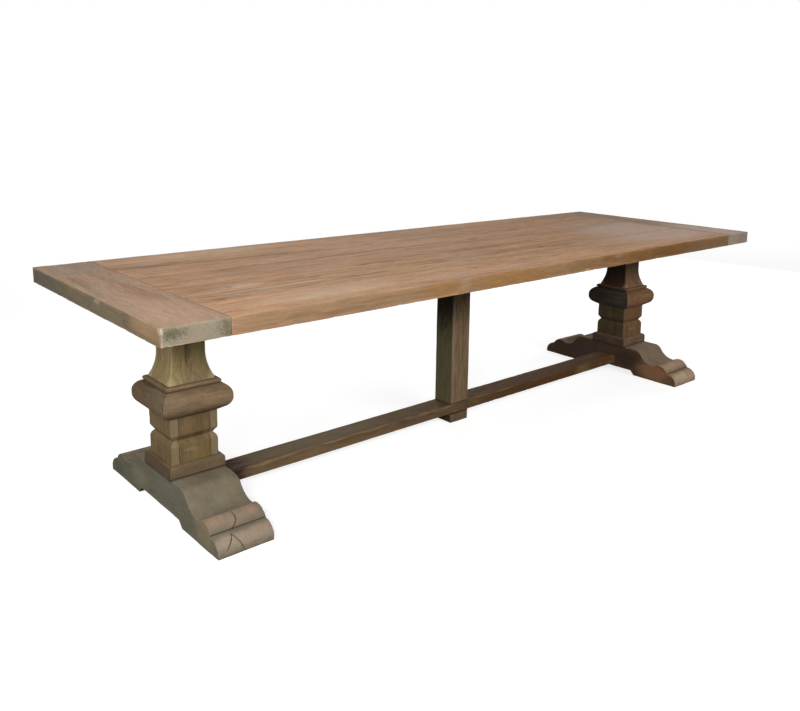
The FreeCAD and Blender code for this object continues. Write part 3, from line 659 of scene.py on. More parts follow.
# Stains of the cross boards' end grain, by side: distance from the end, z, reach, height, colour, strength
TOP_MIDDLE = (TOP_LOW + TOP_HIGH) / 2
END_GRAIN_STAINS = {
    -1: [(0.035, TOP_MIDDLE + 0.006, 0.045, 0.024, (0.09, 0.078, 0.045), 0.75),
         (0.180, TOP_MIDDLE, 0.022, 0.05, (0.13, 0.10, 0.055), 0.7),
         (0.11, TOP_HIGH, 0.08, 0.012, (0.30, 0.255, 0.18), 0.5),
         (0.004, TOP_HIGH, 0.014, 0.02, (0.55, 0.50, 0.37), 0.8),
         (0.01, TOP_LOW, 0.04, 0.012, (0.42, 0.38, 0.28), 0.6)],
    1: [(0.16, TOP_MIDDLE, 0.03, 0.05, (0.39, 0.31, 0.185), 0.75),
        (0.07, TOP_MIDDLE, 0.06, 0.05, (0.29, 0.225, 0.182), 0.75)],
}
END_TONE = rgb(0.325, 0.217, 0.145)
END_GREY = rgb(0.27, 0.21, 0.165)
END_GRAIN_TONE = {-1: rgb(0.29, 0.262, 0.185), 1: rgb(0.32, 0.262, 0.20)}
PATCH_TONE = {-1: (0.36, 0.235, 0.155), 1: (0.46, 0.365, 0.295)}
PATCH_REACH = {-1: 0.22, 1: 0.32}
STREAK_INSET = 0.13

TOP_MARKS = [((x, y, TOP_HIGH), (length / 2, width / 2, 1.0), colour, strength)
             for x, y, length, width, colour, strength in TOP_STAINS]


def at_share(share):
    """Height at a share of the top's thickness."""
    return TOP_LOW + share * (TOP_HIGH - TOP_LOW)


def edge_marks(face):
    return [((x, face[1] * TOP_EDGE, at_share(share)), (length / 2, 1.0, height / 2), colour, strength, face)
            for x, share, length, height, colour, strength in EDGE_STAINS]


def end_marks(side):
    """Stains of a cross board: on its upper side, on its long outer face and on its end grain."""
    end = side * TOP_END
    middle = side * (SHOULDER_X + TOP_END) / 2
    streak = side * (TOP_END - STREAK_INSET)
    marks = [((streak, -0.05, TOP_HIGH), (0.020, 0.40, 1.0), RUSSET, 0.45),
             ((streak - side * 0.02, -0.12, TOP_HIGH), (0.012, 0.25, 1.0), UMBER, 0.4),
             ((middle, 0.40, TOP_HIGH), (0.12, 0.16, 1.0), (0.24, 0.19, 0.145), 0.6),
             ((middle, -0.35, TOP_HIGH), (0.10, PATCH_REACH[side], 1.0), PATCH_TONE[side], 0.7)]
    for y, share, reach, height, colour, strength in END_FACE_STAINS:
        marks.append(((end, y, at_share(share)), (1.0, reach, height), colour, strength,
                      (float(side), 0.0, 0.0)))
    for face in (FRONT, BACK):
        for inset, z, reach, height, colour, strength in END_GRAIN_STAINS[side]:
            place = (end - side * inset, face[1] * TOP_EDGE, z)
            marks.append((place, (reach, 1.0, height), colour, strength, face))
    return marks


def board_edges():
    """Y of each joint between the top boards, from the front edge to the back edge."""
    fronts = [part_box("top_board_%d" % (number + 1))[0].y for number in range(BOARDS)]
    return fronts + [TOP_EDGE]


def board_checks(number, low, high, surface):
    """Two checks along the grain of a top board, and the lattice lines that they need."""
    checks = []
    extra = []
    for place, share in enumerate(CHECK_PLACE_SHARES):
        y = low + (high - low) * share
        start = CHECK_START + CHECK_SPACING * ((number * 5 + place * 3) % 7)
        run = CHECK_SHORTEST + CHECK_GROWTH * ((number + place * 2) % 4)
        path = [(start, y, surface), (start + run / 2, y + CHECK_BOW, surface),
                (start + run, y + CHECK_DRIFT, surface)]
        checks.append((curve_through(path, 8), CHECK_WIDTH, CHECK_DEPTH, 1.0))
        extra.extend(close_lines(y + CHECK_DRIFT, CHECK_REACH, CHECK_STEP))
    return checks, extra


def top_board(number, low, high):
    """Lengthwise board with open joints to its neighbours and checks along its grain."""
    first, last = number == 0, number == BOARDS - 1
    steps = STEPS["outer_board" if first or last else "inner_board"]
    surface = TOP_HIGH - BOARD_LIPS[number]
    checks, check_lines = board_checks(number, low, high, surface)
    ease = [(JOINT_EASE, JOINT_EASE),
            (EDGE_EASE if first else JOINT_EASE, EDGE_EASE if last else JOINT_EASE),
            (UNDER_EASE, EDGE_EASE if first or last else JOINT_DEPTH)]
    piece = Piece("top_board_%d" % (number + 1),
                  lines(-SHOULDER_X, SHOULDER_X, steps[0], ease[0]),
                  lines(low, high, steps[1], ease[1], check_lines),
                  lines(TOP_LOW, surface, steps[2], ease[2]), ease, number)
    piece.wear_arrises(*WEAR["board"],
                       lambda points: np.clip((np.abs(points[:, 1]) - TOP_EDGE + 0.03) / 0.02, 0.05, 1))
    gaps = [SHOULDER_X - np.abs(piece.points[:, 0])]
    for joint, outer in ((low, first), (high, last)):
        if not outer:
            gaps.append(np.abs(piece.points[:, 1] - joint))
    piece.soil_and_shade(near(np.min(gaps, axis=0), SEAM_WIDTH) * SEAM_DIRT_AND_SHADE)
    marks = [mark for mark in TOP_MARKS if low - MARK_REACH < mark[0][1] < high + MARK_REACH]
    if first:
        marks += edge_marks(FRONT)
    if last:
        marks += edge_marks(BACK)
    material = wood("top_%d" % (number + 1), "x", 3 + number * 2, TOP_TONES[number], marks=marks,
                    dark=0.76, light=1.16, grey=ASH, grey_share=0.25)
    piece.finish(material, UNEVEN["board"], checks)


def breadboard_end(name, side):
    """Cross board with open end grain at both its ends."""
    steps = STEPS["end"]
    ends = (SHOULDER_X, TOP_END) if side > 0 else (-TOP_END, -SHOULDER_X)
    x_ease = (JOINT_EASE, EDGE_EASE) if side > 0 else (EDGE_EASE, JOINT_EASE)
    ease = [x_ease, (EDGE_EASE, EDGE_EASE), (UNDER_EASE, EDGE_EASE)]
    corner = np.linspace(0, CORNER_ROUND, 6)
    corners = np.append(TOP_EDGE - corner, corner - TOP_EDGE)
    piece = Piece("breadboard_end_" + name,
                  lines(*ends, steps[0], ease[0], side * (TOP_END - corner)),
                  lines(-TOP_EDGE, TOP_EDGE, steps[1], ease[1], corners),
                  lines(TOP_LOW + FLUSH_GAP, TOP_HIGH - END_LIP, steps[2], ease[2]), ease, 21 + side)
    piece.wear_arrises(*WEAR["end"],
                       lambda points: np.clip((np.abs(points[:, 0]) - SHOULDER_X - 0.008) / 0.01, 0.05, 1))
    piece.soil_and_shade(near(np.abs(piece.points[:, 0]) - SHOULDER_X, SEAM_WIDTH) * SEAM_DIRT_AND_SHADE)

    def rounded(points):
        flat = np.abs(points[:, :2])
        held = np.minimum(flat, np.array([TOP_END, TOP_EDGE]) - CORNER_ROUND)
        reach = np.linalg.norm(flat - held, axis=1, keepdims=True) / CORNER_ROUND
        points[:, :2] = np.sign(points[:, :2]) * (held + (flat - held) / np.maximum(reach, 1))
        return points

    piece.shape(rounded)
    material = wood("end_" + name, "y", 31 + side * 4, END_TONE, marks=end_marks(side), dark=0.76,
                    light=1.16, grey=END_GREY, grey_share=0.4, end=END_GRAIN_TONE[side])
    piece.finish(material, UNEVEN["end"])


def make_top():
    edges = board_edges()
    for number, (low, high) in enumerate(zip(edges, edges[1:])):
        top_board(number, low, high)
    for name, side in SIDES.items():
        breadboard_end(name, side)


# The pedestals

OLIVE = {"left": rgb(0.160, 0.105, 0.047), "right": rgb(0.176, 0.092, 0.041)}
# Wide side faces of the shafts: greenish tone, and on the right pedestal darker as painted shade.
SHAFT_SIDE_TONE_AND_SHADE = {"left": rgb(0.168, 0.12, 0.058), "right": rgb(0.112, 0.08, 0.041)}
SHAFT_PATCH = {"left": (0.185, 0.12, 0.066), "right": (0.19, 0.10, 0.022)}
STRIP = {"left": (0.205, 0.154, 0.085), "right": (0.18, 0.10, 0.05)}
NECK_TONE = {"left": rgb(0.275, 0.208, 0.10), "right": rgb(0.295, 0.176, 0.097)}
TORUS_FRONT = {"left": rgb(0.195, 0.13, 0.075), "right": rgb(0.222, 0.12, 0.058)}
# Side faces of the round moulding, darker than the front ones: painted shade, deepest on the right pedestal.
TORUS_SHADED_SIDE = {"left": rgb(0.122, 0.08, 0.042), "right": rgb(0.062, 0.049, 0.038)}
PLINTH_TONE = {"left": rgb(0.117, 0.081, 0.044), "right": rgb(0.17, 0.106, 0.07)}
# Left-facing faces of the base moulding: painted shade.
PLINTH_SHADED_SIDE = {"left": (0.052, 0.037, 0.022), "right": (0.06, 0.042, 0.029)}
FOOT_TONE = {"left": rgb(0.165, 0.138, 0.094), "right": rgb(0.24, 0.165, 0.106)}
# Long sides of the feet: grey-green tone on the left, and dark painted shade on the right.
FOOT_FLANK_TONE_AND_SHADE = {"left": (0.126, 0.118, 0.083), "right": (0.081, 0.046, 0.026)}
# Paler rolls and toes; on the right foot they are much brighter, as painted light.
ROLL_TONE_AND_LIGHT = {"left": (0.25, 0.183, 0.127), "right": (0.49, 0.335, 0.215)}
TOE_TONE_AND_LIGHT = {"left": (0.30, 0.236, 0.173), "right": (0.54, 0.385, 0.26)}
PINK = (0.31, 0.20, 0.138)
WHOLE = (1.0, 1.0, 1.0)


def turned(points, face, side):
    """Turns points whose outward axis is +X to a face of a pedestal and moves them to its axis."""
    out = FACES[face]
    if face in ("inner", "outer"):
        out = (-side * out[0], 0)
    x, y = points[:, 0].copy(), points[:, 1].copy()
    points[:, 0] = x * out[0] - y * out[1] + side * PEDESTAL_X
    points[:, 1] = x * out[1] + y * out[0]
    return points


NOTCH_Z = PLINTH_TOP + (TORUS_LOW - PLINTH_TOP) * NOTCH_HEIGHT_SHARE
NOTCH_MARGIN = 0.004
SHAFT_EASE = 0.001
WIDE_CORNER = 0.0014
NARROW_CORNER = 0.0007


def notch_depth(z):
    """Depth of the notch round the shaft at each height."""
    depth_share, fall_share = NOTCH_ROUND_SHARES
    fall = arc((0, NOTCH_Z - NOTCH_FALL), (NOTCH_DEPTH * depth_share, NOTCH_Z - NOTCH_FALL * fall_share),
               (NOTCH_DEPTH, NOTCH_Z), 12)
    heights = np.append(fall[:, 1], NOTCH_Z + NOTCH_RISE)
    return np.interp(z, heights, np.append(fall[:, 0], 0), left=0, right=0)


def shaft_material(face, name, side, wide):
    number = list(FACES).index(face)
    x = side * PEDESTAL_X
    if wide:
        marks = [((x, 0, PLINTH_TOP), WHOLE, STRIP[name], 0.85, way) for way in (FRONT, BACK)]
    else:
        marks = [((x + 0.02, 0, 0.20), (0.04, 1.0, 0.05), (0.21, 0.145, 0.05), 0.45),
                 ((x - 0.01, 0, 0.215), (0.03, 1.0, 0.008), (0.26, 0.17, 0.10), 0.5),
                 ((x - 0.02, 0, 0.30), (0.03, 1.0, 0.03), SHAFT_PATCH[name], 0.6)]
    return wood("shaft_%s_%s" % (face, name), "z", 50 + number * 3 + 17 * side,
                SHAFT_SIDE_TONE_AND_SHADE[name] if wide else OLIVE[name], marks=marks, grey_share=0.2, figure=0.8)


def shaft_board(face, name, side):
    """Board of the shaft's box, from the foot to the bead plate, with the notch run across it."""
    wide = face in ("inner", "outer")
    half = SHAFT_HALF if wide else SHAFT_HALF - SHAFT_BOARD
    back = SHAFT_HALF - SHAFT_BOARD
    corner = WIDE_CORNER if wide else NARROW_CORNER
    ease = [(SHAFT_EASE, corner), (corner, corner), (SHAFT_EASE, SHAFT_EASE)]
    steps = STEPS["shaft"]
    fine = np.arange(NOTCH_Z - NOTCH_FALL - NOTCH_MARGIN, NOTCH_Z + NOTCH_RISE + NOTCH_MARGIN, NOTCH_STEP)
    piece = Piece("shaft_board_%s_%s" % (face, name),
                  lines(back, SHAFT_HALF, steps[0], ease[0]),
                  lines(-half, half, steps[1], ease[1]),
                  lines(FOOT_HIGH.z, TORUS_HIGH, steps[2], ease[2], fine),
                  ease, 40 + list(FACES).index(face) + 5 * side)
    piece.wear_arrises(*WEAR["wide_shaft" if wide else "narrow_shaft"],
                       lambda points: np.clip((points[:, 0] - SHAFT_HALF + 0.03) / 0.01, 0, 1))
    if not wide:
        piece.soil_and_shade(near(half - np.abs(piece.points[:, 1]), SEAM_WIDTH) * 0.7)
    # Darkens the valley of the notch on the outer face: painted shade in the recess.
    valley = notch_depth(piece.points[:, 2]) / NOTCH_DEPTH
    piece.soil_and_shade(np.clip((valley - 0.8) * 2.5, 0, 0.4) * (piece.points[:, 0] > SHAFT_HALF - 0.004))

    def notched(points):
        depth = notch_depth(points[:, 2])
        points[:, 0] = back + (points[:, 0] - back) * (SHAFT_BOARD - depth) / SHAFT_BOARD
        if wide:
            points[:, 1] *= (SHAFT_HALF - depth) / SHAFT_HALF
        return turned(points, face, side)

    piece.shape(notched)
    piece.finish(shaft_material(face, name, side, wide), UNEVEN["shaft"])


MITRE_EASE = 0.002
MITRE_PINCH_WIDTH = 0.0015
MITRE_PINCH = 0.0012
MOULDING_SWELL = 0.0004


def moulding(node, face, side, profile, base_lines, pin_z, material):
    """Mitred length of moulding: its outward offset follows its height, and its run ends on the mitres."""
    heights, offsets = profile
    span = SHAFT_HALF + offsets.max()
    pins = [place * PIN_SPREAD / 2 / span for place in (-1, 1)]
    pin_lines = [pin + reach / span for pin in pins for reach in PIN_LINES]
    piece = Piece(node, np.linspace(0, 1, 5),
                  lines(-1, 1, MOULDING_STEP / span, (MITRE_EASE / span,) * 2, pin_lines),
                  np.unique(np.concatenate([heights, base_lines, pin_z + PIN_LINES])),
                  (), 70 + len(node) + 3 * side)
    run = piece.points[:, 1].copy()
    to_mitre = (1 - np.abs(run)) * span
    level = noise(np.stack([run * 3, piece.points[:, 2] * 30, run * 0 + side], 1), 1.0, piece.seed)
    outer = piece.points[:, 0] > 0.99
    holes = np.zeros(len(run))
    for pin in pins:
        distance = np.hypot((run - pin) * span, piece.points[:, 2] - pin_z)
        holes = np.maximum(holes, np.clip(1 - (distance / PIN_DIAMETER * 1.4) ** 2, 0, 1))
    holes *= outer

    def profiled(points):
        offset = np.interp(points[:, 2], heights, offsets)
        pinch = near(to_mitre, MITRE_PINCH_WIDTH) * MITRE_PINCH
        out = SHAFT_HALF + points[:, 0] * (offset - pinch + MOULDING_SWELL * level)
        points[:, 1] = run * out
        points[:, 0] = out
        return turned(points, face, side)

    piece.shape(profiled)
    z = piece.points[:, 2]
    piece.soil_and_shade(near(to_mitre, SEAM_WIDTH) * SEAM_DIRT_AND_SHADE)
    # Dark pin holes, and the lowest 4 mm of the moulding darkened as painted contact shadow.
    piece.soil_and_shade(np.maximum(holes, np.minimum(near(z - heights[0], 0.004), 0.7)))
    crest = np.clip(np.interp(z, heights, offsets) / offsets.max() - 0.75, 0, 1) * 4
    piece.wear = outer * crest * np.clip(0.4 + 0.8 * noise(piece.points, 0.03, piece.seed), 0, 1)
    outward = turned(np.array([[1.0, 0.0, 0.0]]), face, side)[0] - np.array([side * PEDESTAL_X, 0, 0])
    piece.points = piece.points - outward * (PIN_HOLE_DEPTH * holes)[:, None]
    piece.finish(material, UNEVEN["moulding"])


def torus_profile():
    """Heights and outward offsets of the fat round moulding."""
    height, reach = TORUS_HIGH - TORUS_LOW, TORUS_HALF - SHAFT_HALF
    point = lambda shares: (shares[0] * reach, TORUS_LOW + shares[1] * height)
    lower = arc(point(TORUS_UNDERSIDE_SHARES), point(TORUS_LOWER_SHARES), point(TORUS_WIDEST_SHARES), 16)
    upper = arc(point(TORUS_WIDEST_SHARES), point(TORUS_UPPER_SHARES), point(TORUS_TOP_SHARES), 20)
    profile = np.concatenate([[(0.001, TORUS_LOW)], lower, upper[1:]])
    return profile[:, 1], profile[:, 0]


def plinth_profile():
    """Heights and outward offsets of the base moulding."""
    low, reach = FOOT_HIGH.z, PLINTH_HALF - SHAFT_HALF
    inset = PLINTH_ROUND * (1 - math.sqrt(0.5))
    crown = arc((reach, PLINTH_TOP - PLINTH_ROUND), (reach - inset, PLINTH_TOP - inset),
                (reach - PLINTH_ROUND, PLINTH_TOP), 9)
    profile = np.concatenate([[(reach - PLINTH_ARRIS, low), (reach, low + PLINTH_ARRIS)], crown])
    return profile[:, 1], profile[:, 0]


def torus(face, number, name, side, grain):
    """Length of fat round moulding, with painted shade: darker on the inner faces and on the left pedestal's
    outer face.
    """
    node = "torus_%s_%s" % (face, name)
    shaded_face = face == "inner" if name == "right" else grain == "y"
    # The darker side tone is painted shade.
    tone = TORUS_SHADED_SIDE[name] if shaded_face else TORUS_FRONT[name]
    material = wood(node, grain, 140 + number * 3 + 19 * side, tone, dark=0.76)
    pin_z = TORUS_LOW + TORUS_WIDEST_SHARES[1] * (TORUS_HIGH - TORUS_LOW)
    base_lines = np.linspace(TORUS_LOW, TORUS_LOW + 0.012, 5)
    moulding(node, face, side, torus_profile(), base_lines, pin_z, material)


def plinth(face, number, name, side, grain):
    """Length of base moulding, its left-facing faces darkened with painted shade."""
    node = "plinth_%s_%s" % (face, name)
    marks = [((side * PEDESTAL_X, 0, FOOT_HIGH.z), WHOLE, PLINTH_SHADED_SIDE[name], 0.85, LEFT)]
    material = wood(node, grain, 160 + number * 3 + 19 * side, PLINTH_TONE[name], marks=marks)
    pin_z = (FOOT_HIGH.z + PLINTH_TOP) / 2
    base_lines = np.linspace(FOOT_HIGH.z + 0.004, pin_z + 0.008, 6)
    moulding(node, face, side, plinth_profile(), base_lines, pin_z, material)


BEAD_CORNER = 0.003
BEAD_EASE = 0.0006


def bead_plate(name, side):
    """Thin square plate with a half-round edge, its left-facing faces darkened with painted shade."""
    low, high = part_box("bead_plate_" + name)
    half = (high.x - low.x) / 2
    round_radius = (high.z - low.z) / 2
    middle = (high.z + low.z) / 2
    ease = [(BEAD_CORNER, BEAD_CORNER), (BEAD_CORNER, BEAD_CORNER), (BEAD_EASE, BEAD_EASE)]
    flat = lines(-half, half, MOULDING_STEP, ease[0])
    levels = middle - round_radius * np.cos(np.linspace(0, math.pi, 15))
    piece = Piece("bead_plate_" + name, flat, flat, levels, ease, 90 + side)
    piece.wear_arrises(*WEAR["bead"])

    def rounded(points):
        rise = np.clip(np.abs(points[:, 2] - middle) / round_radius, 0, 1)
        scale = (half - round_radius + round_radius * np.sqrt(1 - rise ** 2)) / half
        points[:, :2] *= scale[:, None]
        points[:, 0] += side * PEDESTAL_X
        return points

    piece.shape(rounded)
    out = np.max(np.abs(piece.points[:, :2] - (side * PEDESTAL_X, 0)), axis=1)
    # Dark line where the neck stands on the plate: dirt in the joint and painted contact shadow.
    piece.soil_and_shade(near(np.abs(out - SHAFT_HALF), 0.003) * (piece.points[:, 2] > middle) * SEAM_DIRT_AND_SHADE)
    # Left-facing faces take the darker side tone of the round moulding: painted shade.
    marks = [((side * PEDESTAL_X, 0, middle), WHOLE, TORUS_SHADED_SIDE[name], 0.8, LEFT)]
    material = wood("bead_" + name, "x", 95 + 3 * side, toned(TORUS_FRONT[name], 0.95), figure=0.7,
                    marks=marks)
    piece.finish(material, UNEVEN["bead"])


NECK_EASE = 0.0014
NECK_END_EASE = 0.0008
NECK_SEAM_WIDTH = 0.0018
NECK_SEAM_DEPTH = 0.0012
NECK_SEAM_DIRT = 0.4
NECK_SEAM = [(-0.007, 0.648), (-0.009, 0.60), (-0.009, 0.52), (-0.003, 0.488), (0.009, 0.465), (0.031, 0.446)]


def neck_marks(name, side):
    x = side * PEDESTAL_X
    if side > 0:
        # The right neck's left-facing face darkened almost black: painted shade under the table top.
        marks = [((x, 0, 0.55), WHOLE, (0.075, 0.042, 0.028), 0.95, LEFT),
                 ((x + 0.01, -0.06, 0.50), (0.03, 0.03, 0.03), (0.27, 0.13, 0.075), 0.5)]
    else:
        marks = [((x - 0.009, -0.06, 0.58), (0.012, 0.03, 0.10), (0.12, 0.085, 0.04), 0.65),
                 ((x - 0.030, -0.06, 0.53), (0.018, 0.03, 0.09), (0.22, 0.16, 0.066), 0.5),
                 ((x + 0.030, -0.06, 0.55), (0.022, 0.03, 0.09), (0.27, 0.23, 0.095), 0.5),
                 ((x + 0.020, -0.07, 0.465), (0.045, 0.03, 0.02), (0.23, 0.165, 0.08), 0.5)]
    for x_way, y_way in ((-1, -1), (-1, 1), (1, -1), (1, 1)):
        corner = (x + x_way * SHAFT_HALF, y_way * SHAFT_HALF, NECK_LOW)
        marks.append((corner, (0.022, 0.022, 0.06), toned(NECK_TONE[name], 1.2), 0.6))
    return marks


def neck(name, side):
    """Square block, hollowed to a flare at its foot, with a small facet at each flared corner."""
    cove_top = NECK_LOW + NECK_COVE_HEIGHT
    depth_share, height_share = COVE_MIDDLE_SHARES
    cove = arc((SHAFT_HALF, NECK_LOW), (NECK_TOP_HALF + (SHAFT_HALF - NECK_TOP_HALF) * depth_share,
                                        NECK_LOW + NECK_COVE_HEIGHT * height_share),
               (NECK_TOP_HALF, cove_top), 40)
    ease = [(NECK_EASE, NECK_EASE), (NECK_EASE, NECK_EASE), (NECK_END_EASE, NECK_END_EASE)]
    steps = STEPS["neck"]
    piece = Piece("neck_" + name,
                  lines(-SHAFT_HALF, SHAFT_HALF, steps[0], ease[0], close_lines(-0.008, 0.012, 0.001)),
                  lines(-SHAFT_HALF, SHAFT_HALF, steps[1], ease[1]),
                  lines(NECK_LOW, BEARER_LOW, steps[2], ease[2], np.arange(NECK_LOW, cove_top, COVE_STEP)),
                  ease, 100 + side)
    piece.wear_arrises(*WEAR["neck"])

    def flared(points):
        half = np.interp(points[:, 2], cove[:, 1], cove[:, 0])
        arris = np.clip(1.3 - (SHAFT_HALF - np.abs(points[:, :2]).min(1)) / 0.006, 0, 1)
        points[:, :2] *= (half / SHAFT_HALF)[:, None]
        excess = np.clip(np.abs(points[:, :2]).sum(1) - (2 * SHAFT_HALF - NECK_FACET), 0, None)
        points[:, :2] -= np.sign(points[:, :2]) * excess[:, None] / 2
        corner = np.clip((0.034 - 2 * SHAFT_HALF + np.abs(points[:, :2]).sum(1)) / 0.012, 0, 1)
        piece.wear = np.maximum(arris, corner)
        points[:, 0] += side * PEDESTAL_X
        return points

    piece.shape(flared)
    # Dark foot of the neck: dirt in the joint and painted contact shadow.
    piece.soil_and_shade(near(piece.points[:, 2] - NECK_LOW, 0.002) * 0.7)
    seam = [(side * PEDESTAL_X + across, -np.interp(z, cove[:, 1], cove[:, 0]), z) for across, z in NECK_SEAM]
    material = wood("neck_" + name, "z", 104 + 5 * side, NECK_TONE[name],
                    marks=neck_marks(name, side), grey=rgb(0.21, 0.18, 0.115), grey_share=0.3, worn=1.9)
    crack = (curve_through(seam, 6), NECK_SEAM_WIDTH, NECK_SEAM_DEPTH, NECK_SEAM_DIRT)
    piece.finish(material, UNEVEN["neck"], [crack])


# Stains of the feet's long sides: y, z, reach along, reach up, colour, strength
FLANK_STAINS = {
    "left": [(-0.32, 0.05, 0.07, 0.06, (0.215, 0.17, 0.092), 0.7),
             (-0.05, 0.10, 0.10, 0.04, (0.14, 0.135, 0.107), 0.5),
             (0.16, 0.06, 0.08, 0.05, (0.185, 0.175, 0.122), 0.7),
             (0.26, 0.09, 0.05, 0.03, (0.115, 0.09, 0.08), 0.6),
             (0.34, 0.03, 0.05, 0.04, (0.09, 0.09, 0.06), 0.5),
             (-0.20, 0.03, 0.08, 0.03, (0.10, 0.094, 0.064), 0.5)],
    "right": [(-0.28, 0.05, 0.12, 0.06, (0.37, 0.188, 0.09), 0.85),
              (-0.12, 0.08, 0.08, 0.06, (0.055, 0.035, 0.024), 0.75),
              (-0.37, 0.03, 0.03, 0.03, (0.22, 0.12, 0.055), 0.5),
              (0.15, 0.06, 0.22, 0.1, (0.075, 0.055, 0.046), 0.7)],
}

# Dark curved checks in the toes
TOE_CRACKS = {
    "left": [[(-1.2133, -0.3077, 0.0878), (-1.2134, -0.3294, 0.0835), (-1.2164, -0.3435, 0.074),
              (-1.2259, -0.3514, 0.0643), (-1.2369, -0.356, 0.0571)],
             [(-1.2482, -0.3708, 0.0544), (-1.257, -0.3894, 0.0431), (-1.267, -0.3984, 0.0316),
              (-1.2762, -0.403, 0.021)],
             [(-1.2482, -0.3708, 0.0544), (-1.2407, -0.3866, 0.0456), (-1.2312, -0.3985, 0.0314),
              (-1.2248, -0.404, 0.0154), (-1.2185, -0.404, 0.0034)]],
    "right": [[(1.235, -0.300, 0.087), (1.228, -0.325, 0.0845), (1.236, -0.345, 0.073),
               (1.24, -0.354, 0.058)],
              [(1.24, -0.372, 0.054), (1.25, -0.392, 0.040), (1.246, -0.402, 0.022)]],
}
TOE_CRACK_WIDTH = 0.0017
TOE_CRACK_DEPTH = 0.003
TOE_LINE_REACH = 0.034
TOE_LINE_STEP = 0.0012
FOOT_EASE = [(0.0025, 0.0025), (0.002, 0.002), (0.0015, 0.0025)]
FOOT_STEP = 0.006
FOOT_LEVEL_STEP = 0.08
FOOT_LEVEL_EASE = (0.03, 0.03)
FOOT_GREY = rgb(0.165, 0.155, 0.108)


def foot_outline():
    """Stations along the back half of a foot, with the height of its upper side at each."""
    half, height = FOOT_HIGH.y, FOOT_HIGH.z
    point = lambda shares: (shares[0] * half, shares[1] * height)
    rounds = [(FOOT_SHOULDER_START_SHARES, FOOT_SHOULDER_SHARES, FOOT_SHOULDER_END_SHARES, 16),
              (FOOT_SHOULDER_END_SHARES, FOOT_HOLLOW_SHARES, FOOT_ROLL_START_SHARES, 30),
              (FOOT_ROLL_START_SHARES, FOOT_ROLL_SHARES, FOOT_GROOVE_SHARES, 56),
              (FOOT_GROOVE_SHARES, FOOT_LOWER_ROUND_SHARES, FOOT_TOE_SHARES, 42)]
    flat = [(y, height) for y in np.linspace(0, FOOT_SHOULDER_START_SHARES[0] * half, 22)]
    arcs = [arc(point(a), point(b), point(c), count)[1:] for a, b, c, count in rounds]
    outline = np.concatenate([flat] + arcs)
    return outline[:, 0], outline[:, 1]


def foot_marks(name, side):
    """Stains, painted shade and painted light of a foot: its long sides, and the rolls, toes and shoulders at
    both its ends.
    """
    x = side * PEDESTAL_X
    marks = [((x, 0, 0.05), WHOLE, FOOT_FLANK_TONE_AND_SHADE[name], 0.9, way) for way in (RIGHT, LEFT)]
    for way, share in ((-1, 1.0), (1, 0.45)):
        roll, toe = (0, way * 0.6, 0.8), (0, way * 0.9, 0.43)
        marks += [((x, way * 0.315, 0.08), (0.2, 0.045, 0.04), ROLL_TONE_AND_LIGHT[name], 0.75 * share, roll),
                  ((x, way * 0.39, 0.03), (0.2, 0.040, 0.04), TOE_TONE_AND_LIGHT[name], 0.8 * share, toe),
                  ((x - 0.055, way * 0.31, 0.08), (0.035, 0.028, 0.03), PINK, 0.6 * share, roll),
                  ((x + 0.06, way * 0.32, 0.08), (0.03, 0.03, 0.03), PINK, 0.5 * share, roll),
                  ((x + 0.06, way * 0.385, 0.04), (0.035, 0.02, 0.03), PINK, 0.45 * share, toe),
                  ((x - 0.02, way * 0.19, 0.135), (0.06, 0.03, 0.03), (0.18, 0.135, 0.085), 0.6),
                  ((x + 0.05, way * 0.20, 0.12), (0.03, 0.03, 0.03), (0.185, 0.15, 0.08), 0.5)]
    for way in (LEFT, RIGHT):
        flank = x + way[0] * (FOOT_HIGH.x - PEDESTAL_X)
        for y, z, along, up, colour, strength in FLANK_STAINS[name]:
            marks.append(((flank, y, z), (0.05, along, up), colour, strength, way))
    return marks


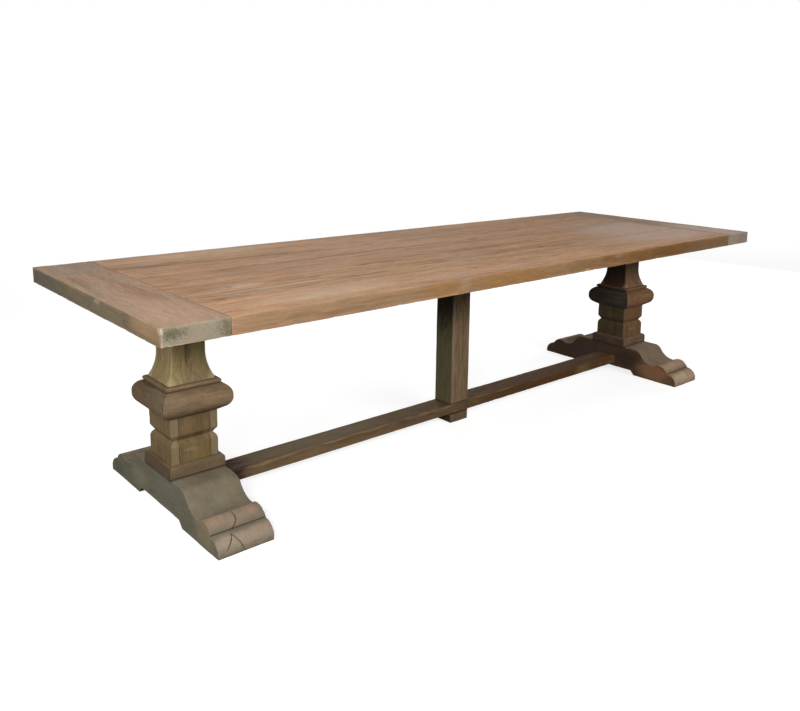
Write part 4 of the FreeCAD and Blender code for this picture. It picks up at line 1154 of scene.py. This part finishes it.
def foot(name, side):
    """Sled foot with a rolled toe at each end, a relieved underside and counterbores for its screws."""
    half_width = (FOOT_HIGH.x - FOOT_LOW.x) / 2
    y_half, z_half = foot_outline()
    relief = [RELIEF_HALF, RELIEF_HALF + RELIEF_SLOPE]
    stations = np.union1d(y_half, relief)
    ys = np.concatenate([-stations[:0:-1], stations])
    upper = lambda y: np.interp(np.abs(y), y_half, z_half)
    lower = lambda y: np.interp(np.abs(y), relief, [RELIEF_HEIGHT + FLUSH_GAP, 0])
    fine = np.append(close_lines(side * 0.03, TOE_LINE_REACH, TOE_LINE_STEP), 0)
    piece = Piece("foot_" + name, lines(-half_width, half_width, FOOT_STEP, FOOT_EASE[0], fine), ys,
                  lines(0, 1, FOOT_LEVEL_STEP, FOOT_LEVEL_EASE), FOOT_EASE, 120 + side)
    height = upper(piece.points[:, 1]) - lower(piece.points[:, 1])
    piece.points[:, 2] = piece.points[:, 2] * height
    piece.low = np.stack([np.full(len(height), -half_width), np.full(len(height), ys[0]), height * 0], 1)
    piece.high = np.stack([np.full(len(height), half_width), np.full(len(height), ys[-1]), height], 1)
    piece.wear_arrises(*WEAR["foot"])

    def profiled(points):
        points[:, 2] += lower(points[:, 1])
        points[:, 0] += side * PEDESTAL_X
        return points

    piece.shape(profiled)
    out = np.abs(piece.points[:, :2] - (side * PEDESTAL_X, 0))
    on_top = piece.points[:, 2] > upper(piece.points[:, 1]) - 0.006
    groove = FOOT_GROOVE_SHARES[0] * FOOT_HIGH.y
    piece.soil_and_shade(near(np.abs(out[:, 1] - groove), 0.0022) * on_top)
    # Dark band on the foot's top round the plinth: dirt in the joint and painted contact shadow.
    piece.soil_and_shade(np.clip(1.3 - np.abs(out.max(1) - PLINTH_HALF) / 0.006, 0, 1) * on_top)
    material = wood("foot_" + name, "y", 124 + 3 * side, FOOT_TONE[name], marks=foot_marks(name, side),
                    grey=FOOT_GREY, grey_share=0.4, figure=0.3)
    cracks = [(curve_through(path, 6), TOE_CRACK_WIDTH, TOE_CRACK_DEPTH, 1.0) for path in TOE_CRACKS[name]]
    counterbore(piece.finish(material, UNEVEN["foot"], cracks), side)


def counterbore(made, side):
    """Bores the seats of the coach screws into a foot's underside."""
    bores = bmesh.new()
    for y in (-COUNTERBORE_SPREAD / 2, COUNTERBORE_SPREAD / 2):
        middle = Vector((side * PEDESTAL_X, y, RELIEF_HEIGHT))
        bmesh.ops.create_cone(bores, cap_ends=True, segments=32, radius1=COUNTERBORE_DIAMETER / 2,
                              radius2=COUNTERBORE_DIAMETER / 2, depth=2 * COUNTERBORE_DEPTH,
                              matrix=Matrix.Translation(middle))
    mesh = bpy.data.meshes.new("counterbore_tool")
    bores.to_mesh(mesh)
    bores.free()
    tool = bpy.data.objects.new("counterbore_tool", mesh)
    bpy.context.scene.collection.objects.link(tool)
    modifier = made.modifiers.new("counterbores", "BOOLEAN")
    modifier.operation = "DIFFERENCE"
    modifier.solver = "EXACT"
    modifier.object = tool
    bpy.context.view_layer.update()
    cut = bpy.data.meshes.new_from_object(made.evaluated_get(bpy.context.evaluated_depsgraph_get()))
    made.modifiers.clear()
    made.data = cut
    bpy.data.objects.remove(tool)


def make_pedestals():
    for name, side in SIDES.items():
        foot(name, side)
        for number, face in enumerate(FACES):
            grain = "y" if face in ("inner", "outer") else "x"
            shaft_board(face, name, side)
            torus(face, number, name, side, grain)
            plinth(face, number, name, side, grain)
        bead_plate(name, side)
        neck(name, side)


# The stretcher and the centre post

RAIL_TONE = rgb(0.157, 0.102, 0.055)
POST_TONE = rgb(0.207, 0.138, 0.078)
RAIL_EASE = [(0.001, 0.001), (0.002, 0.002), (0.0004, 0.002)]
POST_EASE = [(0.0015, 0.0015), (0.0015, 0.0015), (0.0015, 0.001)]
POST_CHECK = [(0.010, 0.50), (0.013, 0.40), (0.011, 0.31), (0.014, 0.25)]
POST_CHECK_WIDTH = 0.0013
POST_CHECK_DEPTH = 0.002


def stretcher():
    """Low rail, halved at the back for the centre post."""
    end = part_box("foot_right")[0].x
    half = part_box("stretcher")[1].y
    steps = STEPS["rail"]
    piece = Piece("stretcher",
                  stepped(lines(-end, end, steps[0], RAIL_EASE[0]), (-POST_HALF, POST_HALF)),
                  lines(-half, half, steps[1], RAIL_EASE[1]),
                  lines(STRETCHER_LOW, STRETCHER_HIGH, steps[2], RAIL_EASE[2]), RAIL_EASE, 180)

    def exposed(points):
        at_post = (np.abs(points[:, 0]) < POST_HALF + 0.004) & (points[:, 2] < STRETCHER_HIGH - 0.01)
        return np.where(at_post, 0.1, 1.0)

    piece.wear_arrises(*WEAR["rail"], exposed)

    def halved(points):
        lap = np.abs(points[:, 0]) < POST_HALF
        points[lap, 1] = (points[lap, 1] - half) / 2
        return points

    piece.shape(halved)
    on_top = piece.points[:, 2] > STRETCHER_HIGH - 0.001
    to_post = np.abs(np.abs(piece.points[:, 0]) - POST_HALF)
    piece.soil_and_shade(near(to_post, 0.002) * np.where(on_top, 0.5, 0.1))
    marks = [((-0.6, -half, STRETCHER_LOW), (0.5, 0.03, 0.03), (0.18, 0.108, 0.046), 0.5),
             # Darker top face: painted shade under the table top.
             ((-0.5, 0, STRETCHER_HIGH), (0.8, 1.0, 1.0), (0.116, 0.072, 0.033), 0.7, UP),
             # Darker right half: darker wood, partly painted shade.
             ((0.6, 0, STRETCHER_HIGH), (0.75, 1.0, 1.0), (0.082, 0.037, 0.0125), 0.92),
             ((-0.7, 0.0, STRETCHER_HIGH), (0.4, 0.06, 0.015), (0.175, 0.137, 0.077), 0.5),
             ((-0.5, -half, STRETCHER_HIGH), (1.2, 0.005, 0.005), (0.30, 0.19, 0.10), 0.6),
             # Painted shadow of the left pedestal on the rail's end.
             ((-1.09, 0.0, STRETCHER_HIGH), (0.12, 0.2, 0.1), (0.045, 0.02, 0.014), 0.95),
             ((0.86, -half, 0.06), (0.07, 0.03, 0.03), (0.20, 0.14, 0.055), 0.6)]
    material = wood("stretcher", "x", 183, RAIL_TONE, light=1.25, marks=marks)
    piece.finish(material, UNEVEN["rail"])


def centre_post():
    """Square post, halved in front for the stretcher."""
    half = POST_HALF
    steps = STEPS["post"]
    piece = Piece("centre_post",
                  lines(-half, half, steps[0], POST_EASE[0], close_lines(0.012, 0.008, 0.001)),
                  lines(-half, half - FLUSH_GAP, steps[1], POST_EASE[1]),
                  stepped(lines(0, BEARER_LOW, steps[2], POST_EASE[2]), (STRETCHER_LOW, STRETCHER_HIGH)),
                  POST_EASE, 190)
    piece.wear_arrises(*WEAR["post"])

    def halved(points):
        lap = (points[:, 2] > STRETCHER_LOW) & (points[:, 2] < STRETCHER_HIGH)
        points[lap, 1] = (points[lap, 1] + half) / 2 + FLUSH_GAP
        return points

    piece.shape(halved)
    # Dark lines along the rail's edges across the post: dirt in the joints and a painted shadow line,
    # strongest at the rail's top.
    for seam, dirt_and_shade in ((STRETCHER_LOW, 0.15), (STRETCHER_HIGH, 0.6)):
        piece.soil_and_shade(near(np.abs(piece.points[:, 2] - seam), 0.003) * dirt_and_shade)
    # Left-facing face olive and darker: wood tone, partly painted shade.
    marks = [((-half, 0, 0.25), WHOLE, (0.122, 0.115, 0.055), 0.85, LEFT),
             # Painted shadow of the table top on the upper left-facing face.
             ((-half, 0, 0.62), (0.5, 0.5, 0.25), (0.030, 0.020, 0.017), 0.93, LEFT),
             ((-half, 0, 0), (1.0, 1.0, 0.055), (0.05, 0.036, 0.026), 0.85, LEFT),
             ((0, -half, 0), (1.0, 1.0, 0.055), (0.128, 0.082, 0.045), 0.9, FRONT),
             ((0.02, -half, 0.2), (0.02, 0.02, 0.3), (0.17, 0.116, 0.068), 0.4),
             ((-0.04, -half, 0.35), (0.012, 0.012, 0.4), (0.27, 0.195, 0.125), 0.5)]
    material = wood("post", "z", 193, POST_TONE, light=1.25, marks=marks)
    check = curve_through([(x, -half, z) for x, z in POST_CHECK], 6)
    piece.finish(material, UNEVEN["post"], [(check, POST_CHECK_WIDTH, POST_CHECK_DEPTH, 1.0)])


# Hidden pieces keep their solids, with a finish

SAWN_TONE = rgb(0.29, 0.20, 0.12)
PEG_TONE = rgb(0.36, 0.25, 0.15)
BEARER_EASE = 0.002


def finish_solids():
    """Gives the bearers, core posts and fasteners, whose solids stay, a finish of their own."""
    bearers = ["bearer_" + name for name in ("left", "centre", "right")]
    finishes = {}
    for number, node in enumerate(bearers):
        finishes[node] = wood(node, "y", 200 + number * 3, SAWN_TONE)
    for number, name in enumerate(SIDES):
        finishes["core_post_" + name] = wood("core_" + name, "z", 212 + number * 3, SAWN_TONE)
    for node, grain in (("breadboard_pegs", "z"), ("stretcher_pegs", "z"), ("lap_pegs", "y")):
        finishes[node] = wood(node, grain, 220 + len(node), PEG_TONE)
    for node in ("bearer_screws", "foot_coach_screws", "foot_washers"):
        finishes[node] = steel("zinc_" + node)
    finishes["moulding_pins"] = dark_iron("iron_moulding_pins")
    for node, material in finishes.items():
        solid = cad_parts[node]
        solid.data.materials.clear()
        solid.data.materials.append(material)
        if node in bearers:
            bevel = solid.modifiers.new("eased_edges", "BEVEL")
            bevel.width = BEARER_EASE
            bevel.segments = 2
            bevel.limit_method = "ANGLE"


# Stage, light and camera

WHITE = rgb(1, 1, 1)
AMBIENT = 0.04
FLOOR_HALF = 14.0
FLOOR_SHADE_SHARE = 0.42
FLOOR_GLOW = 0.78
FLOOR_FADE = (2.2, 4.5)
CAMERA_PLACE = Vector((-2.2940, -2.3800, 1.2732))
CAMERA_YAW, CAMERA_PITCH, CAMERA_ROLL = 0.7289, -0.1832, 0.0176
PHOTO_WIDTH = 800
FOCAL_PIXELS = 804.5
SHIFT_PIXELS = (24.36, -88.98)
SENSOR_WIDTH = 36.0

# Soft rectangular lamps: place, target, size and power
LAMPS = {
    "key": ((-2.9, -2.4, 1.72), (-0.4, 0, 0.5), (0.5, 0.5), 48),
    "left": ((-3.3, -1.0, 1.3), (-0.8, 0, 0.4), (1.0, 1.0), 31),
    "front": ((0.4, -4.5, 2.6), (0.2, 0, 0.5), (3.0, 1.5), 138),
    "overhead": ((0.1, 0.1, 3.8), (0.1, 0, 0.7), (3.2, 2.0), 35.5),
    "above_left": ((-3.0, -0.5, 3.2), (-0.2, 0, 0.7), (2.0, 2.0), 42),
    "behind": ((2.7, 4.8, 1.0), (0, 0, 0.4), (2.4, 1.0), 150),
    "right": ((4.6, 0.6, 1.0), (1.2, 0, 0.4), (1.6, 1.0), 52),
}


def background_ray(s):
    """1 for the rays that see the background: from the camera, and off metal or through glass."""
    path = s.tree.nodes.new("ShaderNodeLightPath")
    seen = s.math("MAXIMUM", path.outputs["Is Camera Ray"], path.outputs["Is Glossy Ray"])
    return s.math("MAXIMUM", seen, path.outputs["Is Transmission Ray"])


def make_floor():
    """Pale floor that shows white with a soft shadow and fades into the background."""
    mesh = bpy.data.meshes.new("floor")
    corners = [(-FLOOR_HALF, -FLOOR_HALF, 0), (FLOOR_HALF, -FLOOR_HALF, 0),
               (FLOOR_HALF, FLOOR_HALF, 0), (-FLOOR_HALF, FLOOR_HALF, 0)]
    mesh.from_pydata(corners, [], [(0, 1, 2, 3)])
    s = Shader(bpy.data.materials.new("pale_floor"))
    shaded = s.node("BsdfDiffuse", {"Color": toned(WHITE, FLOOR_SHADE_SHARE)})
    dull = s.node("BsdfDiffuse", {"Color": rgb(0.06, 0.058, 0.055)})
    glow = s.node("Emission", {"Color": WHITE, "Strength": FLOOR_GLOW})
    white = s.node("Emission", {"Color": WHITE, "Strength": 1.0})
    middle = s.vector("DIVIDE", s.node("TexCoord", output=3), (1.5, 1.0, 1.0))
    far = s.ranged(s.vector("LENGTH", middle, output=1), *FLOOR_FADE)
    shown = s.node("MixShader", [far, s.node("AddShader", [shaded, glow]), white])
    mesh.materials.append(s.output(s.node("MixShader", [background_ray(s), dull, shown])))
    floor = bpy.data.objects.new("floor", mesh)
    bpy.context.scene.collection.objects.link(floor)


def make_world():
    """Dim ambient light behind a plain white background."""
    s = Shader(bpy.data.worlds.new("studio"))
    ambient = s.node("Background", {"Color": rgb(1, 0.98, 0.95), "Strength": AMBIENT})
    white = s.node("Background", {"Color": WHITE, "Strength": 1.0})
    mixed = s.node("MixShader", [background_ray(s), ambient, white])
    bpy.context.scene.world = s.output(mixed, "World")


def make_lights():
    """Lamp near the camera, and soft light from each side and from above."""
    for name, (place, target, size, power) in LAMPS.items():
        lamp = bpy.data.lights.new(name, "AREA")
        lamp.shape = "RECTANGLE"
        lamp.size, lamp.size_y = size
        lamp.energy = power
        made = bpy.data.objects.new(name, lamp)
        made.location = place
        made.rotation_euler = (Vector(target) - Vector(place)).to_track_quat("-Z", "Y").to_euler()
        bpy.context.scene.collection.objects.link(made)


def make_camera():
    """Camera at the photograph's place, with its own framing as lens shift."""
    camera = bpy.data.cameras.new("camera")
    camera.sensor_fit = "HORIZONTAL"
    camera.sensor_width = SENSOR_WIDTH
    camera.lens = FOCAL_PIXELS / PHOTO_WIDTH * SENSOR_WIDTH
    camera.shift_x = -SHIFT_PIXELS[0] / PHOTO_WIDTH
    camera.shift_y = SHIFT_PIXELS[1] / PHOTO_WIDTH
    made = bpy.data.objects.new("camera", camera)
    forward = Vector((math.sin(CAMERA_YAW) * math.cos(CAMERA_PITCH),
                      math.cos(CAMERA_YAW) * math.cos(CAMERA_PITCH), math.sin(CAMERA_PITCH)))
    level = Vector((math.cos(CAMERA_YAW), -math.sin(CAMERA_YAW), 0))
    upright = level.cross(forward)
    right = math.cos(CAMERA_ROLL) * level + math.sin(CAMERA_ROLL) * upright
    up = math.cos(CAMERA_ROLL) * upright - math.sin(CAMERA_ROLL) * level
    turn = Matrix((right, up, -forward)).transposed().to_4x4()
    made.matrix_world = Matrix.Translation(CAMERA_PLACE) @ turn
    bpy.context.scene.collection.objects.link(made)
    bpy.context.scene.camera = made


make_top()
make_pedestals()
stretcher()
centre_post()
finish_solids()
make_floor()
make_world()
make_lights()
make_camera()
bpy.context.scene.view_settings.view_transform = "Standard"
